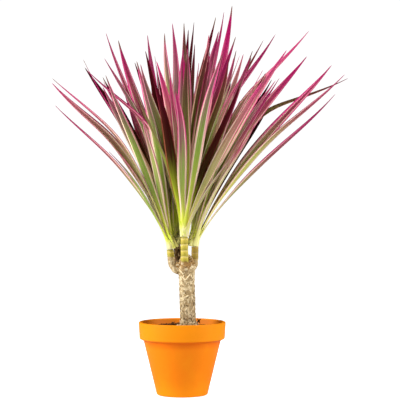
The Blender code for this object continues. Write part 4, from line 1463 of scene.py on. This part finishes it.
def rule_leaf(name, index, attempt, draw):
    """A leaf of the seeded rule, or nothing where it would lean out of the crown's own space."""
    spread = CROWN_SPREAD * math.sqrt((index + FIRST_INDEX) / RULE_LEAVES)
    angle = GOLDEN_ANGLE * index + draw.uniform(-JITTER_ANGLE, JITTER_ANGLE) * (1 + attempt)
    out = spread + draw.uniform(-JITTER_LEAN, JITTER_LEAN) * (1 + attempt / 2)
    own = Vector((math.cos(angle), math.sin(angle))) * out
    inner = 1 - spread / CROWN_SPREAD
    size = (LEAF_LONG - INNER_SHORTER * inner) * (1 - draw.uniform(*SHORTEN))
    width = LEAF_WIDE * draw.uniform(*NARROW)
    turn = draw.uniform(-TURN, TURN)
    bow = draw.uniform(-BOW, BOW)
    lean = own + Vector(CROWN_HOME[name])
    nearest = min((lean - Vector(home)).length for other, home in CROWN_HOME.items() if other != name)
    in_oval = math.hypot((lean.x - OVAL_MIDDLE) / OVAL_SIDEWAYS, lean.y / OVAL_DEPTH) <= 1.0
    if not in_oval or own.length > nearest + CROWN_SHARED:
        return None
    slope = math.radians(lean.length)
    chord = (lean.normalized() * math.sin(slope)).to_3d() + UP * math.cos(slope)
    return leaf_at(name, crown_foot(name) + chord * size, width, turn, bow, own)


def tree_of(points, faces):
    return BVHTree.FromPolygons([tuple(point) for point in points], faces)


def touches(leaf, limbs, stems, placed):
    """True where the leaf, grown a little, meets a limb, another crown or, past its root, its own crown."""
    points, faces = leaf_shape(leaf, CLEARANCE)
    whole = tree_of(points, faces)
    outer = tree_of(points, [face for face in faces if min(face) >= OWN_CLEAR_FROM * SECTION])
    others = limbs + [stem for name, stem in stems.items() if name != leaf.crown]
    if any(whole.overlap(other) for other in others):
        return True
    return any((outer if other.crown == leaf.crown else whole).overlap(other.tree) for other in placed)


def place_leaf(make, limbs, stems, placed):
    """Adds the first of several tries that keeps clear. Where none does, the leaf is left out."""
    for attempt in range(TRIES):
        leaf = make(attempt)
        if leaf and not touches(leaf, limbs, stems, placed):
            leaf.tree = tree_of(*leaf_shape(leaf))
            placed.append(leaf)
            return


def grow_leaves():
    """All leaves of the four crowns, by the rule that the frame's solids follow."""
    meshes = [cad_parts[name].data for name in ["trunk"] + ["shoot_" + crown for crown in CROWNS]]
    limbs = [
        tree_of([point.co for point in mesh.vertices], [tuple(face.vertices) for face in mesh.polygons])
        for mesh in meshes
    ]
    faces = ring_faces(STEM_SIDES, len(STEM_FORM))
    stems = {name: tree_of(stem_points(name, CLEARANCE), faces) for name in CROWNS}
    placed = []
    for name, entries in OUTLINE_LEAVES.items():
        for entry in entries:
            place_leaf(lambda attempt: outline_leaf(name, entry, attempt), limbs, stems, placed)
    for index in range(RULE_LEAVES):
        for name in CROWNS:
            draw = random.Random(CROWN_SEED[name] * SEED_STEP + index)
            place_leaf(lambda attempt: rule_leaf(name, index, attempt, draw), limbs, stems, placed)
    deal = random.Random(KIND_SEED)
    for name in CROWNS:
        for index, leaf in enumerate(leaf for leaf in placed if leaf.crown == name):
            in_front = name != "back" and leaf.heading.y < FRONT_FROM
            kind = deal.choices(KINDS, FRONT_SHARES if in_front else KIND_SHARES[name])[0]
            leaf.kind = leaf.kind or KIND_CHOSEN[name].get(index, kind)
            leaf.twist = math.copysign(TWISTS.get((name, index), 0.0), leaf.turn)
            leaf.shade = SHADES[name].get(index, leaf.shade)
            leaf.shown = index not in OPEN_SKY[name]
    return placed


def steps_of(values):
    """Smooth steps of an array."""
    values = np.clip(values, 0.0, 1.0)
    return values * values * (3 - 2 * values)


def unit_rows(rows):
    return rows / np.maximum(np.linalg.norm(rows, axis=1), 1e-9)[:, None]


def blade_rings(leaf, draw):
    """Places along a fine leaf with their middle points: its sheath below its node, then the blade."""
    line, side = leaf_line(leaf)
    line, side = np.array(line), np.array(side)
    size = (leaf.tip - leaf.root).length
    foot = np.array(crown_foot(leaf.crown))
    axis = np.array(crown_axis(leaf.crown))
    node = float((line[0] - foot) @ axis)
    below = np.linspace(-min(SHEATH_BELOW, node - GAP) / size, 0.0, SHEATH_RINGS + 1)[:-1]
    parts = np.concatenate([below, np.linspace(0.0, 1.0, BLADE_RINGS) ** RINGS_CLOSER * TIP_FROM, [1.0]])
    at = np.clip(parts, 0.0, 1.0) * LINE_STEPS
    low = np.minimum(at.astype(int), LINE_STEPS - 1)
    middles = line[low] + (line[low + 1] - line[low]) * (at - low)[:, None]
    middles += np.minimum(parts, 0.0)[:, None] * size * axis
    rise = (middles - foot) @ axis
    radial = middles - foot - rise[:, None] * axis
    outward = np.array(leaf.heading) - (np.array(leaf.heading) @ axis) * axis
    outward /= np.linalg.norm(outward)
    layer = (node / STEM_LENGTH - LOW_NODE) / (HIGH_NODE - LOW_NODE)
    wrap = SHEATH_OUTER + (SHEATH_INNER - SHEATH_OUTER) * min(max(layer, 0.0), 1.0)
    wrap = (wrap + SHEATH_LIFT * draw.random()) * MM
    away = np.linalg.norm(radial, axis=1)
    way = np.where(away[:, None] > 1e-6, radial / np.maximum(away, 1e-9)[:, None], outward)
    pushed = (away ** 4 + wrap ** 4) ** 0.25
    near = parts < PUSHED_TO
    middles = np.where(near[:, None], foot + rise[:, None] * axis + way * pushed[:, None], middles)
    swing = np.sin(np.clip(parts, 0, 1) * ROUND) * draw.uniform(-SWING, SWING)
    late = np.clip((parts - FLICK_FROM) / (1 - FLICK_FROM), 0, 1) ** 2
    middles += side * (swing + late * draw.uniform(-FLICK, FLICK))[:, None]
    middles += np.array(UP) * (late * draw.uniform(-FLICK, FLICK))[:, None]
    return parts, middles, side, wrap, size


def fine_width(part):
    """As the solid leaf's width, but with a long drawn-out tip."""
    if part < LEAF_WIDEST:
        return leaf_width(max(part, 0.0))
    return max((1 - ((part - LEAF_WIDEST) / (1 - LEAF_WIDEST)) ** 2) ** TIP_POWER, TIP_LEAST)


def fine_leaf(leaf, number):
    """Points of a leaf ring by ring and its tip, the places across of a ring, and the place along of each."""
    draw = np.random.default_rng(int(number * 1e6))
    parts, middles, side, wrap, size = blade_rings(leaf, draw)
    along = unit_rows(np.vstack([middles[1:] - middles[:-1], middles[-1:] - middles[-2:-1]]))
    along = unit_rows(along + np.vstack([along[:1], along[:-1]]))
    turn = leaf.turn * steps_of(parts / TURN_DONE) + leaf.twist * steps_of((parts - TWIST_FROM) / TWIST_OVER)
    upright = unit_rows(np.cross(side, along))
    across = side * np.cos(turn)[:, None] + upright * np.sin(turn)[:, None]
    face = unit_rows(np.cross(across, along))
    above = np.maximum(parts, 0.0) * size
    deep = np.clip(-parts / max(-parts[0], 1e-6), 0, 1)
    clasp = (SHEATH_ANGLE + (SHEATH_FOOT_ANGLE - SHEATH_ANGLE) * deep) * wrap
    blade_half = BLADE_WIDER * leaf.width / 2 * np.array([fine_width(part) for part in parts])
    narrowed = steps_of(above / SHEATH_NARROWS)
    half = clasp * (1 - narrowed) + blade_half * narrowed
    flat = steps_of(above / SHEATH_FLATTENS)
    bend = (1 - flat) / wrap + 1e-3
    thickness = SHEATH_THICK + (BLADE_THICK - SHEATH_THICK) * steps_of(above / SHEATH_FLATTENS - 0.1)
    thickness *= np.clip(1.4 - parts, 0.75, 1.0)
    spots = np.linspace(-1, 1, ACROSS)
    outline = [(spot, 1) for spot in spots] + [(spot, -1) for spot in spots[-2:0:-1]]
    rings = []
    for spot, way in outline:
        angle = spot * half * bend
        lateral = np.sin(angle) / bend
        inward = (1 - np.cos(angle)) / bend + flat * BLADE_CHANNEL * abs(spot) * half
        thick = thickness / 2 * (1 - spot * spot)
        rings.append(middles + across * lateral[:, None] - face * (inward + way * thick)[:, None])
    points = np.stack(rings, 1)[:-1].reshape(-1, 3)
    lengths = np.clip(parts[:-1], FOOT_MARK, 1.0)
    return np.vstack([points, middles[-1:]]), [spot for spot, _ in outline], lengths


def leaf_corners(start, number, rings, low, step, places, lengths):
    """The corners of each of a leaf's faces: a point, its place across and along, and its spot on the map.

    The map's strip starts at low, with one step for each point of a ring.
    """
    around = len(places)
    rows = MAP_EDGE + (1 - 2 * MAP_EDGE) * (np.arange(rings + 1) / rings)
    for ring, along in enumerate(lengths):
        for k in range(around):
            after = (k + 1) % around
            sides = ((k, places[k], k), (after, places[after], k + 1))
            corners = [
                (start + ring * around + point, (across, along, number), (low + column * step, rows[ring]))
                for point, across, column in sides
            ]
            if ring < rings - 1:
                corners += [
                    (start + (ring + 1) * around + point, (across, lengths[ring + 1], number),
                     (low + column * step, rows[ring + 1]))
                    for point, across, column in reversed(sides)
                ]
            else:
                end = ((places[k] + places[after]) / 2, 1.0, number)
                corners.append((start + rings * around, end, (low + (k + 0.5) * step, rows[rings])))
            yield corners
    wide = around * step / (1 - 2 * MAP_EDGE)
    yield [
        (start + k, (places[k], FOOT_MARK, number), (
            low + wide / 2 + wide / 6 * math.cos(ROUND * k / around),
            MAP_EDGE / 2 + MAP_EDGE / 3 * math.sin(ROUND * k / around),
        ))
        for k in reversed(range(around))
    ]


def leaves_piece(name, leaves):
    """Fine leaves as one mesh, with a strip for each on the piece's own map. Each comes with its number."""
    points, faces, blade, chart = [], [], [], []
    start, wide = 0, 1 / len(leaves)
    for slot, (leaf, number) in enumerate(leaves):
        own, places, lengths = fine_leaf(leaf, number)
        low, step = (slot + MAP_EDGE) * wide, wide * (1 - 2 * MAP_EDGE) / len(places)
        for corners in leaf_corners(start, number, len(lengths), low, step, places, lengths):
            numbers, marks, spots = zip(*corners)
            faces.append(numbers)
            blade += marks
            chart += spots
        points.append(own)
        start += len(own)
    item = mesh_object(name, np.concatenate(points).tolist(), faces)
    item.data.attributes.new("blade", "FLOAT_VECTOR", "CORNER").data.foreach_set("vector", np.ravel(blade))
    item.data.uv_layers.new(name="OFBake").data.foreach_set("uv", np.ravel(chart))
    item.data.shade_smooth()
    return item


class PLANT_OT_leaves(bpy.types.Operator):
    """Grow the leaves of the four crowns, each kind apart, and the leafy stems that carry them"""

    bl_idname = "plant.leaves"
    bl_label = "Leaves"

    def execute(self, context):
        scene = context.scene
        sorts = {}
        for k, leaf in enumerate(grow_leaves()):
            shaded = (leaf.shade + k % SHADE_TURNS) / SHADE_FACTOR
            number = (k * GOLDEN_SHARE) % 1.0 if leaf.shade < 0 else shaded
            if leaf.shown:
                sorts.setdefault((leaf.crown, leaf.kind), []).append((leaf, number))
        materials = {kind: leaf_material(getattr(scene, "plant_leaf_" + kind), kind) for kind in KINDS}
        for crown in CROWNS:
            for kind in KINDS:
                if (crown, kind) in sorts:
                    item = leaves_piece(f"leaves_{crown}_{kind}", sorts[crown, kind])
                    finish_piece(item, "crown_" + crown, [materials[kind]])
        green = scene.plant_leaf_green
        for crown in CROWNS:
            points = stem_points(crown, -STEM_THINNER, STEM_FINE_SIDES)
            stem = mesh_object("leafy_stem_" + crown, points, ring_faces(STEM_FINE_SIDES, len(STEM_FORM)))
            activate(stem)
            face_outwards()
            stem.data.shade_smooth()
            looks = (green.sheath, green.foot, green.sheath, STEM_SKIN_FROM, STEM_RING_START)
            material = shoot_material(scene.plant_bark, "stem_" + crown, *looks)
            finish_piece(stem, "crown_" + crown, [material])
        return {"FINISHED"}


def area_light(name, place, power):
    data = bpy.data.lights.new(name, "AREA")
    data.size = LIGHT_SIZE
    data.energy = power
    item = link(name, data)
    item.location = place
    item.rotation_euler = (Vector(LIGHT_AIM) - Vector(place)).to_track_quat("-Z", "Y").to_euler()


def camera_ray(tree):
    """1 on the camera's own rays, and 0 on those of the light."""
    return add_node(tree, "LightPath", output="Is Camera Ray")


class PLANT_OT_stage(bpy.types.Operator):
    """Lay the floor, hang the lights and stand the camera"""

    bl_idname = "plant.stage"
    bl_label = "Stage"

    def execute(self, context):
        settings = context.scene.plant_stage
        deselect()
        bpy.ops.mesh.primitive_circle_add(vertices=96, radius=FLOOR_RADIUS, fill_type="NGON")
        floor = bpy.context.object
        floor.name = "floor"
        material, tree = new_material("pale_floor")
        place = place_on(tree)
        darker = [0.985 * value for value in settings.floor]
        far = place.add("VectorMath", {0: place}, "Value", operation="LENGTH").step(*GLOW_REACH)
        glow = far * (settings.glow_far - settings.glow_near) + settings.glow_near
        glow *= camera_ray(tree)
        feed(tree.nodes["Principled BSDF"], {
            "Base Color": place.noise(0.8, 2.0).blend(settings.floor, darker), "Roughness": 0.7,
            "Specular IOR Level": 0.1, "Emission Color": glow.grey(), "Emission Strength": 1.0,
        })
        floor.data.materials.append(material)
        world = bpy.data.worlds.new("white_studio")
        world.use_nodes = True
        strength = camera_ray(world.node_tree) * (settings.backdrop - settings.world) + settings.world
        feed(world.node_tree.nodes["Background"], {"Color": (1.0, 1.0, 1.0), "Strength": strength})
        context.scene.world = world
        area_light("key", KEY_PLACE, settings.key)
        area_light("fill", FILL_PLACE, settings.fill)
        data = bpy.data.cameras.new("camera")
        data.sensor_width = 36.0
        data.lens = settings.lens
        data.clip_end = 60.0
        camera = link("camera", data)
        camera.location = CAMERA_PLACE
        camera.rotation_euler = (math.pi / 2, 0.0, 0.0)
        context.scene.camera = camera
        context.scene.view_settings.view_transform = "Standard"
        return {"FINISHED"}


class PLANT_PT_panel(bpy.types.Panel):
    """The plant's pieces and their settings"""

    bl_idname = "PLANT_PT_panel"
    bl_label = "Potted Dragon Tree"
    bl_space_type = "VIEW_3D"
    bl_region_type = "UI"
    bl_category = "Dragon Tree"

    def draw(self, context):
        layout = self.layout
        for operator in OPERATORS:
            layout.operator(operator.bl_idname)
        for name, group in SETTINGS.items():
            box = layout.box()
            box.label(text=group.__name__)
            for field in group.__annotations__:
                box.prop(getattr(context.scene, name), field)


OPERATORS = (PLANT_OT_pot, PLANT_OT_soil, PLANT_OT_cane, PLANT_OT_shoots, PLANT_OT_leaves, PLANT_OT_stage)
CLASSES = (*SETTINGS.values(), *OPERATORS, PLANT_PT_panel)


def register():
    for item in CLASSES:
        bpy.utils.register_class(item)
    for name, group in SETTINGS.items():
        setattr(bpy.types.Scene, name, bpy.props.PointerProperty(type=group))


def unregister():
    for name in SETTINGS:
        delattr(bpy.types.Scene, name)
    for item in reversed(CLASSES):
        bpy.utils.unregister_class(item)


def main():
    register()
    bpy.ops.plant.pot()
    bpy.ops.plant.soil()
    bpy.ops.plant.cane()
    bpy.ops.plant.shoots()
    bpy.ops.plant.leaves()
    bpy.ops.plant.stage()


if __name__ == "__main__":
    main()
